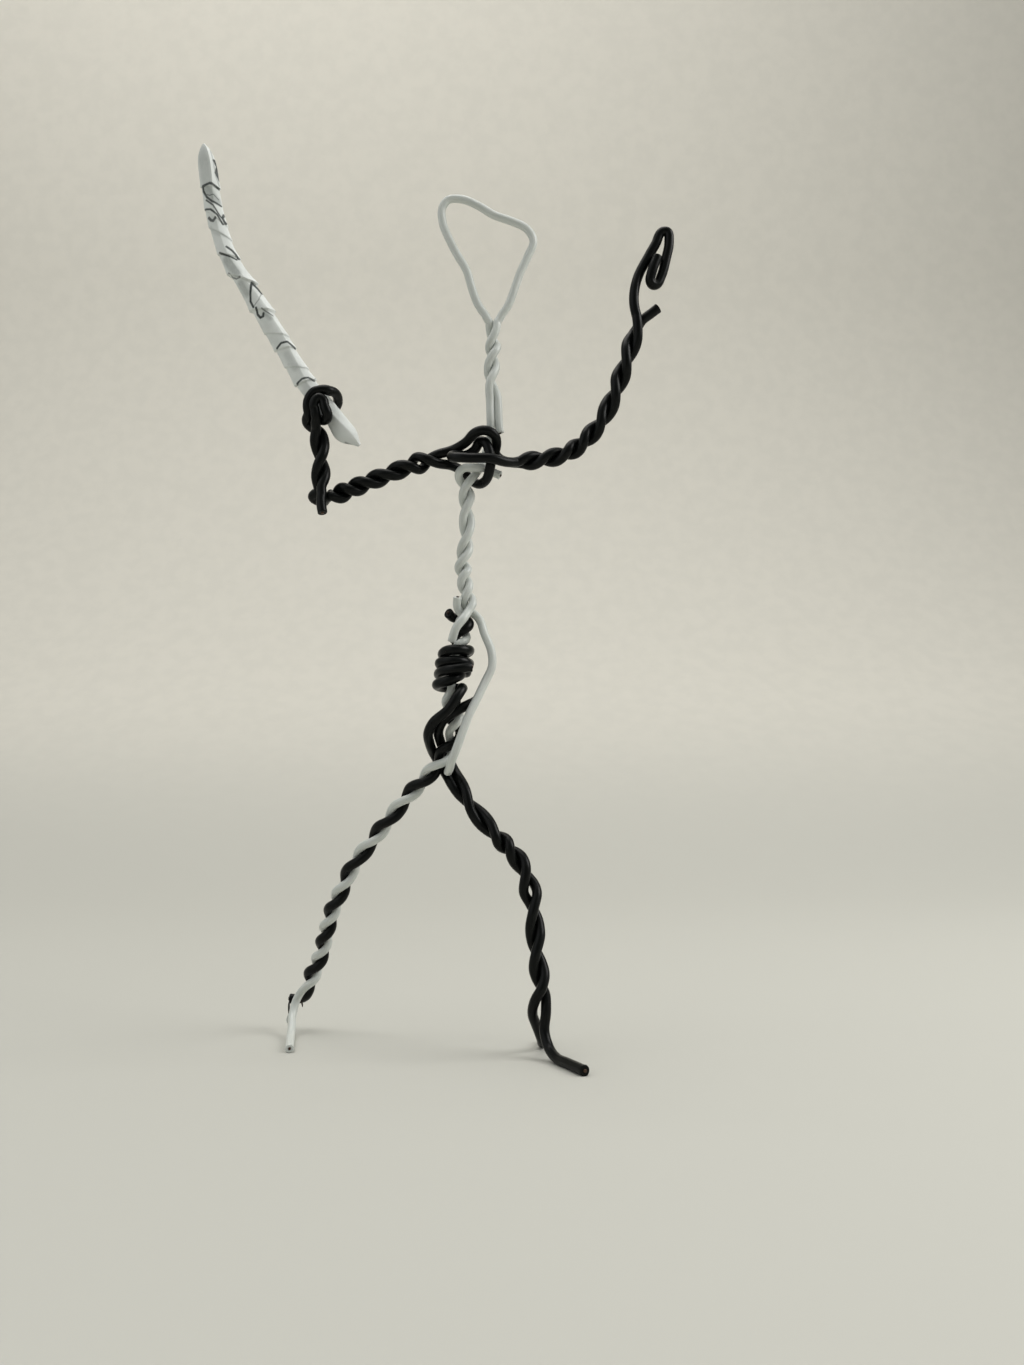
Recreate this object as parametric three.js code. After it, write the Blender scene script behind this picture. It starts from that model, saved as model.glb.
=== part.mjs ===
// A small standing figure, bent and twisted from offcuts of insulated single-core wire.
// It stands on the ends of its own wires and holds a long sword of rolled paper.
// Millimetres, +Z up. The figure faces -Y, and the sword is on its -X side.

import * as THREE from 'three';

// Driving sizes
const POSE_HEIGHT = 184; // from the floor to the middle of the sword's tip
const WHITE_DIAMETER = 1.7; // of the white wires, over the insulation
const BLACK_DIAMETER = 2.0;
const STRAND_GAP = 0.05; // air between two strands that lie side by side
const SWORD_WIDTH = 3.7; // of the paper roll at its widest
const SWORD_THICKNESS = 3.0; // the roll is pressed a little flat

// Fineness of the solids
const WIRE_SIDES = 8;
const SWORD_SIDES = 12;
const LARGEST_BEND = 0.56; // radians between two steps along a wire
const LARGEST_STEP = 3.6;
const SHORTEST_STEP = 0.9;
const SAMPLES_PER_HALF_TURN = 4;
const COIL_SAMPLES = 8;
const FINE_PER_POINT = 8;
const NEARLY_PARALLEL = 1e-9;
const NEARLY_TOUCHING = 1e-6;
const FOOT_PARTS = 3;
const FOOT_POINTS = FOOT_PARTS + 1;

// The section is an eight-sided ring of the same area as the round wire.
const SIDE_ANGLE = (2 * Math.PI) / WIRE_SIDES;
const CORNER_SHARE = Math.sqrt(SIDE_ANGLE / Math.sin(SIDE_ANGLE));
const FLAT_SHARE = Math.cos(SIDE_ANGLE / 2);
const WHITE_RADIUS = (WHITE_DIAMETER / 2) * CORNER_SHARE;
const BLACK_RADIUS = (BLACK_DIAMETER / 2) * CORNER_SHARE;
const WHITE_PITCH = 2 * WHITE_RADIUS + STRAND_GAP;
const MIXED_PITCH = WHITE_RADIUS + BLACK_RADIUS + STRAND_GAP;
const BLACK_PITCH = 2 * BLACK_RADIUS + STRAND_GAP;

// Settling
const SETTLE_ROUNDS = 240;
const EVEN_ROUNDS = 60; // the rounds in which shifts are spread along a wire
const EVENING = 0.35;
const ROUNDS_PER_SEARCH = 20;
const PAIR_MARGIN = 1.5;
const OWN_CLEARANCE = 2 * BLACK_PITCH;

// Every route below is drawn for a figure of this height and takes its share of POSE_HEIGHT.
const DRAWN_HEIGHT = 184;
const POSE_SHARE = POSE_HEIGHT / DRAWN_HEIGHT;

const FRONT = new THREE.Vector3(0, -1, 0);

function toVector([x, y, z]) {
  return new THREE.Vector3(x, y, z).multiplyScalar(POSE_SHARE);
}

function route(points) {
  return points.map(toVector);
}

// Two strands twisted round one axis. Each point of the axis carries its place and its number of
// half turns: the first strand is in front at an even number and the second at an odd one. A fifth
// value spreads the two strands in the stretch that follows. Falling numbers twist left-handed.
function twist(pitch, axisPoints) {
  const curve = new THREE.CatmullRomCurve3(axisPoints.map(toVector), false, 'catmullrom', 0.5);
  const strands = [[], []];
  const last = axisPoints.length - 1;
  for (let i = 0; i < last; i += 1) {
    const halfTurns = axisPoints[i + 1][3] - axisPoints[i][3];
    const samples = Math.max(2, Math.round(Math.abs(halfTurns) * SAMPLES_PER_HALF_TURN));
    const spread = axisPoints[i][4] ?? 0;
    const count = i === last - 1 ? samples + 1 : samples;
    for (let k = 0; k < count; k += 1) {
      const share = k / samples;
      const u = (i + share) / last;
      const tangent = curve.getTangent(u);
      const front = FRONT.clone().addScaledVector(tangent, -FRONT.dot(tangent)).normalize();
      const side = new THREE.Vector3().crossVectors(tangent, front);
      const angle = Math.PI * (axisPoints[i][3] + share * halfTurns);
      const radius = pitch / 2 + spread * Math.sin(Math.PI * share) ** 2;
      const offset = front.multiplyScalar(Math.cos(angle)).addScaledVector(side, Math.sin(angle));
      const centre = curve.getPoint(u);
      strands[0].push(centre.clone().addScaledVector(offset, radius));
      strands[1].push(centre.clone().addScaledVector(offset, -radius));
    }
  }
  return strands;
}

// Turns of a coil that goes down from right to front, left and back. Each turn gives the middle
// and half the width of its ring and its height at the right and at the left.
function coil(turns, middleY, halfDepth, endRight) {
  const points = [];
  turns.forEach((turn, i) => {
    const nextRight = i + 1 < turns.length ? turns[i + 1].right : endRight;
    for (let k = 0; k < COIL_SAMPLES; k += 1) {
      const share = k / COIL_SAMPLES;
      const angle = 2 * Math.PI * share;
      const frontHalf = share < 0.5;
      const z = frontHalf
        ? THREE.MathUtils.lerp(turn.right, turn.left, 2 * share)
        : THREE.MathUtils.lerp(turn.left, nextRight, 2 * share - 1);
      const x = turn.middle + turn.half * Math.cos(angle);
      const y = middleY - halfDepth * Math.sin(angle);
      points.push(toVector([x, y, z]));
    }
  });
  return points;
}

// Twisted stretches

const NECK = twist(WHITE_PITCH, [
  [8.5, 3, 144, 0],
  [8.5, 3, 140.5, 1],
  [8, 3, 135.5, 2],
  [8.7, 3, 131, 2.5],
  [8.7, 3, 126, 2.5],
]);

const TORSO = twist(WHITE_PITCH, [
  [3, 3, 113, 0],
  [3, 3, 108.5, 1],
  [3, 3, 102.5, 2],
  [2.3, 3, 98, 3, 0.5],
  [2.3, 3, 94.5, 4],
  [3, 3, 91, 5],
  [3.5, 3, 87.5, 6],
]);

const TRUNK_AND_LEFT_LEG = twist(MIXED_PITCH, [
  [2.2, 4.2, 86.5, -1],
  [2.5, 3.8, 83.5, 0],
  [1.5, 3.5, 80.5, 1],
  [0.7, 3, 76, 1],
  [0, 3, 70.5, 1],
  [0, 3, 67.5, 2],
  [0.5, 3, 64.5, 3],
  [-1, 3.5, 60.5, 4],
  [-3.5, 4.3, 57, 5],
  [-6.5, 6, 53, 6],
  [-10, 7, 49.5, 7],
  [-13.5, 8.5, 45, 8],
  [-17, 10, 41, 9],
  [-20.5, 11.5, 36.5, 10],
  [-23, 13, 32, 11],
  [-25, 14.5, 28, 12],
  [-26.5, 16, 24.5, 13],
  [-27.5, 17.5, 21, 14],
  [-28.5, 19, 17.5, 15],
  [-30, 20.5, 14, 16],
  [-31.5, 21.5, 10.5, 17],
]);

const RIGHT_LEG = twist(BLACK_PITCH, [
  [1.5, 4, 52, -0.5],
  [3.5, 3.5, 48.5, 0],
  [8.5, 2, 42.5, 1],
  [11.5, 1.5, 39.5, 2],
  [14.5, 1, 35, 3, 0.5],
  [16, 0, 27.5, 4],
  [16.5, -1, 20, 5],
  [17.5, -2, 13, 6],
]);

const RIGHT_ARM = twist(BLACK_PITCH, [
  [38, 0, 145, 0, 0.3],
  [35.5, 0, 138, -1],
  [33.5, 0.5, 132, -2],
  [30.5, 1, 126, -3],
  [27, 1.5, 122, -4],
  [23.5, 1.5, 119.5, -5],
  [19, 2, 118.5, -6],
  [14.5, 2, 118, -7],
]);

const LEFT_ARM = twist(BLACK_PITCH, [
  [-4.7, 2, 118.3, 0, 0.5],
  [-9.1, 2, 117, 1],
  [-13.4, 2, 115.3, 2],
  [-17.5, 2, 113.7, 3],
  [-21.1, 2, 112.2, 4],
  [-24.3, 2, 111.1, 5],
]);

const FOREARM = twist(BLACK_PITCH, [
  [-26.5, 1, 112, 0],
  [-26.1, 1, 118.5, 1],
  [-26.4, 1, 125.7, 2],
]);

// Routes of the wires, each from one cut end to the other

function headWire() {
  const headLoop = route([
    [7, 2.5, 147.5],
    [5.5, 2.5, 151],
    [4, 2.5, 155.5],
    [3, 2.5, 159],
    [1, 2.5, 162.5],
    [-1, 2.5, 167],
    [-2, 2.5, 171],
    [-1, 2.5, 173.5],
    [3.5, 2.5, 173.5],
    [7.5, 2.5, 171],
    [11, 2.5, 169.5],
    [15, 2.5, 168],
    [17, 2.5, 165],
    [16, 2.5, 162],
    [14, 2.5, 157.5],
    [12, 2.5, 151.5],
    [10, 2.5, 147],
  ]);
  const behindTheKnot = route([
    [8, 4.5, 123.5],
    [7, 6, 121],
    [6, 5.5, 118],
    [4.5, 3, 115],
  ]);
  const roundTheWaist = route([
    [2.4, 0.4, 85.4],
    [1.3, 0.2, 84.1],
    [0.8, 0.3, 82.8],
    [0.4, 0.9, 81.5],
    [0.2, 1.3, 80.3],
  ]);
  const looseEnd = route([
    [9.8, 3.2, 124.3],
  ]);
  const upTheNeck = [...NECK[1]].reverse();
  return [
    ...looseEnd, ...upTheNeck, ...headLoop, ...NECK[0], ...behindTheKnot, ...TORSO[0],
    ...roundTheWaist,
  ];
}

function torsoBowWire() {
  const hook = route([
    [10, 3.2, 115],
    [8.6, 3.2, 115.6],
    [7, 1.5, 116],
    [4.5, 0.8, 116],
    [2.5, 0.8, 116],
    [1.5, 1.5, 115],
  ]);
  const bow = route([
    [5.5, 3.5, 85.5],
    [6.5, 2.5, 82.5],
    [7.8, 2, 79.2],
    [8.2, 1.8, 77],
    [7.4, 1.5, 74.5],
    [6.2, 1, 72],
    [5.1, 0, 69.5],
    [3, -1.4, 65],
    [1.3, -1.8, 60],
    [0.1, -1.2, 57.3],
    [-0.3, 0.6, 56],
    [-0.8, 2.8, 55.3],
    [-1, 4.4, 55],
  ]);
  return [...hook, ...TORSO[1], ...bow];
}

function leftLegWhiteWire() {
  const foot = footStretch(LEFT_FOOT);
  const ankle = route([
    [-34.6, 19, 2.6],
    [-34.8, 21.5, 5],
    [-34, 22, 7.5],
  ]);
  const top = route([
    [1, 3, 87.5],
    [0.5, 1.5, 90],
  ]);
  return [...foot, ...ankle, ...[...TRUNK_AND_LEFT_LEG[1]].reverse(), ...top];
}

function leftLegBlackWire() {
  const top = route([
    [0, 2.2, 86.9],
    [1.2, 4.4, 86],
  ]);
  const ankle = route([
    [-32, 23, 8],
    [-34, 25, 6.5],
    [-36.5, 25, 6.5],
  ]);
  return [...top, ...TRUNK_AND_LEFT_LEG[0], ...ankle];
}

function rightLegWireA() {
  const foot = footStretch(RIGHT_FOOT);
  const shin = route([
    [18.6, -3.5, 2.2],
    [17.6, -2, 5],
    [17.8, -2, 9],
  ]);
  const curl = route([
    [-1.5, 6.5, 56.5],
    [-2.5, 3.8, 59.2],
    [-3.1, 1.2, 61.2],
    [-3.3, -0.7, 63.2],
    [-2.6, -1.6, 65],
    [-0.8, -1.9, 66.8],
    [0.9, -1.8, 69],
    [1.6, -1.1, 71.4],
    [1.3, 1.5, 72.3],
  ]);
  const ring = coil([
    { middle: 0.3, half: 2.3, right: 79.5, left: 78.4 },
    { middle: 0.3, half: 3, right: 77.4, left: 76.4 },
    { middle: -0.7, half: 2.6, right: 74.2, left: 73.4 },
  ], 3, 3.3, 72.2);
  const lastTurn = route([
    [2.6, 6, 79.4],
    [0.5, 8.4, 78.2],
    [-1.5, 7.8, 75.6],
    [-2.4, 6, 74.4],
    [-1.6, 1.2, 74.8],
    [1, -0.8, 75],
    [4.8, -0.2, 75.2],
  ]);
  const legStrand = [...RIGHT_LEG[1]].reverse();
  return [...foot, ...shin, ...legStrand, ...curl, ...ring.reverse(), ...lastTurn];
}

function rightLegWireB() {
  const foot = footStretch(RIGHT_HEEL);
  const heel = route([
    [17.6, 4.2, 2.2],
    [16.9, 2, 4.8],
    [16, -0.3, 7.8],
    [16.3, -2, 10.5],
  ]);
  const end = route([
    [0, 7, 55.5],
    [-1.5, 6.5, 58.3],
    [-2.4, 4.6, 60.3],
    [-2.6, 3, 61.7],
    [-2.6, 1.4, 63.4],
    [-1.6, 0.5, 65.2],
    [0.5, 0.2, 66.7],
    [2.7, 0.9, 68],
    [4.6, 2.9, 69.1],
  ]);
  const legStrand = [...RIGHT_LEG[0]].reverse();
  return [...foot, ...heel, ...legStrand, ...end];
}

function armWireA() {
  const hand = route([
    [42.1, -1.6, 159.6],
    [41.3, -1.7, 157.2],
    [40.6, -1.6, 155.4],
    [40.6, -1.2, 154.1],
    [41.4, -0.9, 153.6],
    [42.3, -0.6, 154.3],
    [43, -0.5, 156],
    [43.8, -0.5, 158.8],
    [44.4, -0.5, 161.7],
    [44.7, -0.5, 164],
    [44.3, -0.5, 165.4],
    [43.4, -0.5, 165],
    [42, -0.5, 162.2],
    [40.3, -0.5, 159.3],
    [38.9, -0.5, 156.9],
    [37.7, -1, 153.5],
    [37.2, -1.4, 149.5],
  ]);
  const knot = route([
    [10.2, 3, 118.6],
    [8.9, 2.3, 119.8],
    [9.2, 0.9, 121.4],
    [8.8, -0.3, 122.7],
    [7.3, -1, 123.2],
    [5.7, -1, 123],
    [4.4, -0.5, 122.1],
    [3.1, 0.9, 120.9],
    [1.2, 2.2, 120],
    [-0.8, 2.6, 119.4],
    [-3, 2.5, 118.9],
  ]);
  const elbow = route([
    [-26.9, 4.6, 111.1],
    [-28.3, 3.4, 111.5],
  ]);
  const fist = route([
    [-29, 1.6, 127.3],
    [-29.2, 0, 128.1],
    [-29, -1.2, 129.4],
    [-28.4, -1.4, 130.9],
    [-27.5, -1.4, 132.2],
    [-26.3, -1.4, 132.7],
    [-24.9, -1.2, 132.5],
    [-24.2, 0, 132],
    [-23.9, 1.8, 131.3],
    [-23.8, 3.6, 130.4],
    [-25, 4.6, 129.7],
    [-26.3, 4.7, 129],
    [-27.2, 3.4, 128],
    [-26.6, 1.2, 127.1],
    [-25.4, -0.8, 126.6],
    [-24.2, -1.7, 126.2],
    [-23.5, -2, 126.3],
    [-23.9, -2.3, 127.3],
    [-25.2, -2.3, 129],
    [-26.7, -2.1, 129.7],
    [-27.2, -1.9, 128.6],
    [-26.9, -1.2, 127],
  ]);
  const cutEnd = route([
    [-26.1, -0.6, 109.4],
    [-25.8, -1, 107.4],
  ]);
  const upTheForearm = FOREARM[1];
  const downTheForearm = [...FOREARM[0]].reverse();
  return [
    ...hand, ...RIGHT_ARM[0], ...knot, ...LEFT_ARM[1], ...elbow, ...upTheForearm, ...fist,
    ...downTheForearm, ...cutEnd,
  ];
}

function armWireB() {
  const stub = route([
    [42.5, 0.5, 149.5],
    [40.5, 0.5, 148],
  ]);
  const knot = route([
    [10.5, -1.5, 117],
    [8, -2.5, 117.5],
    [5, -2.5, 117.6],
    [2, -2.2, 118],
    [0.4, -1.2, 118.4],
    [0, 0.6, 119.5],
    [1.2, 1.6, 120.1],
    [3.2, 2.2, 120.3],
    [4.9, 2.2, 121.5],
    [5.9, 1.4, 122.9],
    [6.9, 0.6, 121.2],
    [7.9, 0, 118.8],
    [7.6, 0.3, 117],
    [7.3, 1.5, 115.7],
    [6.2, 3, 114.6],
    [4.6, 5, 115],
    [2.5, 6.3, 117],
    [0.5, 4.5, 118],
    [-2, 2.5, 117.8],
  ]);
  const end = route([
    [-26, 3.6, 111.2],
  ]);
  return [...stub, ...RIGHT_ARM[1], ...knot, ...LEFT_ARM[0], ...end];
}

// A foot is a straight stretch of wire that lies on the floor on one of its flats.
const LEFT_FOOT = { toe: [-32.2, 3.6], heel: [-34, 14], radius: WHITE_RADIUS };
const RIGHT_HEEL = { toe: [18.4, 11.5], heel: [17.7, 6.8], radius: BLACK_RADIUS };
const RIGHT_FOOT = { toe: [24.8, -15.5], heel: [20.2, -6.5], radius: BLACK_RADIUS };

function footStretch({ toe, heel, radius }) {
  const points = [];
  for (let i = 0; i <= FOOT_PARTS; i += 1) {
    const share = i / FOOT_PARTS;
    const x = THREE.MathUtils.lerp(toe[0], heel[0], share) * POSE_SHARE;
    const y = THREE.MathUtils.lerp(toe[1], heel[1], share) * POSE_SHARE;
    points.push(new THREE.Vector3(x, y, radius * FLAT_SHARE));
  }
  return points;
}

// The sword's middle line, from its slanting tip to the pointed end below the fist. The fourth
// value is its width there, as a share of the widest.
const SWORD_LINE = [
  [-50.6, -2, 183.7, 0.25],
  [-50.3, -1.8, 181.5, 0.78],
  [-49.8, -1.4, 178.5, 1],
  [-49.4, -1, 175.5, 0.95],
  [-48.6, -0.5, 170.5, 0.92],
  [-47.5, 0, 166, 0.9],
  [-45.8, 0, 161.3, 0.85],
  [-43.5, 0, 157, 0.84],
  [-40.5, 0.5, 152.3, 0.93],
  [-37.5, 0.7, 147.3, 0.97],
  [-34.6, 1, 142.5, 0.94],
  [-31.8, 1.2, 137.7, 0.96],
  [-29.5, 1.5, 134, 1],
  [-26.3, 1.5, 130.3, 0.98],
  [-22.7, 1.5, 125.8, 0.97],
  [-20.2, 1.5, 122.9, 0.8],
  [-18.8, 1.5, 121.4, 0.35],
];

// Stations: the places along a smooth route where the wire's ring of corners is set. The points
// of a foot are stations as they are.
function stations(points, footCount = 1) {
  const curve = new THREE.CatmullRomCurve3(points, false, 'centripetal');
  const fine = curve.getPoints((points.length - 1) * FINE_PER_POINT);
  const kept = points.slice(0, footCount);
  const last = fine.length - 1;
  let bend = 0;
  let run = 0;
  for (let i = (footCount - 1) * FINE_PER_POINT + 1; i < last; i += 1) {
    const before = new THREE.Vector3().subVectors(fine[i], fine[i - 1]);
    const after = new THREE.Vector3().subVectors(fine[i + 1], fine[i]);
    bend += before.angleTo(after);
    run += before.length();
    const room = fine[i].distanceTo(fine[last]) > SHORTEST_STEP;
    if (room && run > SHORTEST_STEP && (bend > LARGEST_BEND || run > LARGEST_STEP)) {
      kept.push(fine[i]);
      bend = 0;
      run = 0;
    }
  }
  kept.push(fine[last]);
  return kept;
}

// A strand is what the settling moves: its stations, how far each may move and its half width.
function wireStrand(points, radius, footCount = 0) {
  const places = stations(points, Math.max(1, footCount));
  return {
    places,
    home: places.map((place) => place.clone()),
    freedom: places.map((place, i) => (i < footCount ? 0 : 1)),
    radii: places.map(() => radius),
  };
}

// Shares along two straight pieces, a0 to a1 and b0 to b1, of the points where they come closest
function closestShares(a0, a1, b0, b1) {
  const along = new THREE.Vector3().subVectors(a1, a0);
  const across = new THREE.Vector3().subVectors(b1, b0);
  const apart = new THREE.Vector3().subVectors(a0, b0);
  const a = along.lengthSq();
  const e = across.lengthSq();
  const b = along.dot(across);
  const c = along.dot(apart);
  const f = across.dot(apart);
  const spread = a * e - b * b;
  let s = spread > NEARLY_PARALLEL ? THREE.MathUtils.clamp((b * f - c * e) / spread, 0, 1) : 0.5;
  let t = (b * s + f) / e;
  if (t < 0 || t > 1) {
    t = THREE.MathUtils.clamp(t, 0, 1);
    s = THREE.MathUtils.clamp((b * t - c) / a, 0, 1);
  }
  return [s, t];
}

// Pairs of pieces that are near enough to touch, leaving out a wire's own next pieces
function nearPairs(strands) {
  const pieces = [];
  strands.forEach((strand) => {
    let run = 0;
    for (let i = 0; i + 1 < strand.places.length; i += 1) {
      const middle = new THREE.Vector3().lerpVectors(strand.places[i], strand.places[i + 1], 0.5);
      const length = strand.places[i].distanceTo(strand.places[i + 1]);
      pieces.push({ strand, i, middle, length, run: run + length / 2 });
      run += length;
    }
  });
  const pairs = [];
  for (let m = 0; m < pieces.length; m += 1) {
    for (let n = m + 1; n < pieces.length; n += 1) {
      const p = pieces[m];
      const q = pieces[n];
      const reach = p.strand.radii[p.i] + q.strand.radii[q.i] + (p.length + q.length) / 2;
      const tooNear = p.strand === q.strand && q.run - p.run < OWN_CLEARANCE;
      if (!tooNear && p.middle.distanceTo(q.middle) < reach + PAIR_MARGIN) {
        pairs.push([p, q]);
      }
    }
  }
  return pairs;
}

// Push two pieces apart until their walls clear each other by the strand gap.
function pushApart(p, q) {
  const ends = [
    [p.strand, p.i], [p.strand, p.i + 1], [q.strand, q.i], [q.strand, q.i + 1],
  ];
  const [a0, a1, b0, b1] = ends.map(([strand, i]) => strand.places[i]);
  const [s, t] = closestShares(a0, a1, b0, b1);
  const onA = new THREE.Vector3().lerpVectors(a0, a1, s);
  const onB = new THREE.Vector3().lerpVectors(b0, b1, t);
  const apart = onA.sub(onB);
  const distance = apart.length();
  const radiusA = THREE.MathUtils.lerp(p.strand.radii[p.i], p.strand.radii[p.i + 1], s);
  const radiusB = THREE.MathUtils.lerp(q.strand.radii[q.i], q.strand.radii[q.i + 1], t);
  const wanted = radiusA + radiusB + STRAND_GAP;
  if (distance >= wanted) {
    return;
  }
  const shares = [1 - s, s, t - 1, -t];
  const freedoms = ends.map(([strand, i]) => strand.freedom[i]);
  const total = shares.reduce((sum, share, k) => sum + freedoms[k] * share * share, 0);
  if (total === 0) {
    return;
  }
  const step = (wanted - distance) / (total * Math.max(distance, NEARLY_TOUCHING));
  [a0, a1, b0, b1].forEach((place, k) => place.addScaledVector(apart, step * freedoms[k] * shares[k]));
}

// Spread each strand's shift along it, so that a wire gives way in a long curve and not in a kink.
function evenOut(strand, amount) {
  const { places, home, freedom } = strand;
  const shifts = places.map((place, i) => new THREE.Vector3().subVectors(place, home[i]));
  places.forEach((place, i) => {
    const before = shifts[Math.max(0, i - 1)];
    const after = shifts[Math.min(places.length - 1, i + 1)];
    const mean = new THREE.Vector3().addVectors(before, after).multiplyScalar(0.5);
    place.addScaledVector(mean.sub(shifts[i]), amount * freedom[i]);
  });
}

// Let all strands settle against each other and on the floor.
function settle(strands) {
  let pairs = [];
  for (let round = 0; round < SETTLE_ROUNDS; round += 1) {
    if (round % ROUNDS_PER_SEARCH === 0) {
      pairs = nearPairs(strands);
    }
    pairs.forEach(([p, q]) => pushApart(p, q));
    const amount = EVENING * Math.max(0, 1 - round / EVEN_ROUNDS);
    strands.forEach((strand) => {
      evenOut(strand, amount);
      strand.places.forEach((place, i) => {
        if (strand.freedom[i] > 0) {
          place.z = Math.max(place.z, strand.radii[i]);
        }
      });
    });
  }
}

// A path through given stations, straight from each one to the next
class StationPath extends THREE.Curve {
  constructor(places) {
    super();
    this.places = places;
  }

  getPointAt(u, target = new THREE.Vector3()) {
    return target.copy(this.places[Math.round(u * (this.places.length - 1))]);
  }

  getTangentAt(u, target = new THREE.Vector3()) {
    const last = this.places.length - 1;
    const i = Math.round(u * last);
    const before = new THREE.Vector3();
    const after = new THREE.Vector3();
    before.subVectors(this.places[i], this.places[Math.max(0, i - 1)]).normalize();
    after.subVectors(this.places[Math.min(last, i + 1)], this.places[i]).normalize();
    return target.addVectors(before, after).normalize();
  }
}

// The wire's section, with a flat on each axis
function wireSection(radius) {
  const corners = [];
  for (let k = 0; k < WIRE_SIDES; k += 1) {
    const angle = (k + 0.5) * SIDE_ANGLE;
    corners.push(new THREE.Vector2(radius * Math.cos(angle), radius * Math.sin(angle)));
  }
  return new THREE.Shape(corners);
}

function wireGeometry({ places, radii }) {
  return new THREE.ExtrudeGeometry(wireSection(radii[0]), {
    steps: places.length - 1,
    bevelEnabled: false,
    extrudePath: new StationPath(places),
  });
}

// The sword is a turned profile, pressed flat and bent along the sword's line.
function swordStrand() {
  const places = SWORD_LINE.map(toVector);
  const radii = SWORD_LINE.map((point) => (point[3] * SWORD_WIDTH) / 2);
  return { places, home: places, freedom: places.map(() => 0), radii };
}

function swordGeometry({ places, radii }) {
  const last = places.length - 1;
  const profile = [new THREE.Vector2(0, 0)];
  radii.forEach((radius, i) => profile.push(new THREE.Vector2(radius, i / last)));
  profile.push(new THREE.Vector2(0, 1));
  const geometry = new THREE.LatheGeometry(profile, SWORD_SIDES);
  const path = new StationPath(places);
  const position = geometry.attributes.position;
  const press = SWORD_THICKNESS / SWORD_WIDTH;
  for (let i = 0; i < position.count; i += 1) {
    const u = position.getY(i);
    const tangent = path.getTangentAt(u);
    const depth = FRONT.clone().addScaledVector(tangent, -FRONT.dot(tangent)).normalize();
    const width = new THREE.Vector3().crossVectors(tangent, depth);
    const place = path.getPointAt(u);
    place.addScaledVector(width, position.getX(i));
    place.addScaledVector(depth, position.getZ(i) * press);
    position.setXYZ(i, place.x, place.y, place.z);
  }
  return geometry;
}

// The whole figure

const WHITE = { color: 0xdfe3e2, roughness: 0.45, metalness: 0 };
const BLACK = { color: 0x15171a, roughness: 0.38, metalness: 0 };
const PAPER = { color: 0xf1f2f0, roughness: 0.7, metalness: 0 };

function whiteWire(name, points, footCount) {
  return { name, look: WHITE, strand: wireStrand(points, WHITE_RADIUS, footCount) };
}

function blackWire(name, points, footCount) {
  return { name, look: BLACK, strand: wireStrand(points, BLACK_RADIUS, footCount) };
}

const wires = [
  whiteWire('head_wire', headWire()),
  whiteWire('torso_bow_wire', torsoBowWire()),
  whiteWire('left_leg_white_wire', leftLegWhiteWire(), FOOT_POINTS),
  blackWire('left_leg_black_wire', leftLegBlackWire()),
  blackWire('right_leg_wire_a', rightLegWireA(), FOOT_POINTS),
  blackWire('right_leg_wire_b', rightLegWireB(), FOOT_POINTS),
  blackWire('arm_wire_a', armWireA()),
  blackWire('arm_wire_b', armWireB()),
];
const sword = swordStrand();

settle([...wires.map((wire) => wire.strand), sword]);

const group = new THREE.Group();
wires.forEach(({ name, look, strand }) => {
  const mesh = new THREE.Mesh(wireGeometry(strand), new THREE.MeshStandardMaterial(look));
  mesh.name = name;
  group.add(mesh);
});
const swordMesh = new THREE.Mesh(swordGeometry(sword), new THREE.MeshStandardMaterial(PAPER));
swordMesh.name = 'sword';
group.add(swordMesh);

// The origin is under the middle of the figure's box, on the floor.
const box = new THREE.Box3().setFromObject(group);
group.position.set(-(box.min.x + box.max.x) / 2, -(box.min.y + box.max.y) / 2, -box.min.z);

export default group;
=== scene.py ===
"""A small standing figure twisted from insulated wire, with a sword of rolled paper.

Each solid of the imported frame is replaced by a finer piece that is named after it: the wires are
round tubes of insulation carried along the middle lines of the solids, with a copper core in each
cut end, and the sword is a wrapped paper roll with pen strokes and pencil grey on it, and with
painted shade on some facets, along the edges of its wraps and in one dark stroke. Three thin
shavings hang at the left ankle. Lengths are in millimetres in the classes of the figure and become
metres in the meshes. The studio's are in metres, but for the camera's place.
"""

import logging
import math
from dataclasses import dataclass, field
from enum import Enum
from typing import Any, ClassVar, Iterable, Sequence

import bpy
import numpy as np
from mathutils import Matrix, Vector


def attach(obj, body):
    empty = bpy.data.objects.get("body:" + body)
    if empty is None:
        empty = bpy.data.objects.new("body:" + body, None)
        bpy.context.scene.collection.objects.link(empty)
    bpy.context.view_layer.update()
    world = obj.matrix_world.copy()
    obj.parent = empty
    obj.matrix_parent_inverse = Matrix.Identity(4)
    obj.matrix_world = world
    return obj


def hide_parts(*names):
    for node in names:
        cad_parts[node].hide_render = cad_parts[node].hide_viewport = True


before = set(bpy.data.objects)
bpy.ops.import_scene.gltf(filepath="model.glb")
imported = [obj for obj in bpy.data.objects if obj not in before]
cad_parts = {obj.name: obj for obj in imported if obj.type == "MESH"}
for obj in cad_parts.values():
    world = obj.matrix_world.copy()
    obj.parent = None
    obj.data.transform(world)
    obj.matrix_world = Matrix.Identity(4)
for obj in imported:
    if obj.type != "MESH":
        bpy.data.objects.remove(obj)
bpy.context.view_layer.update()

LOG = logging.getLogger("wire_figure")
MM = 0.001
Array = np.ndarray


class Slot(Enum):
    """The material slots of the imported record."""

    WHITE = "white_insulation"
    BLACK = "black_insulation"
    PAPER = "rolled_paper"


# Shader graphs


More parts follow.
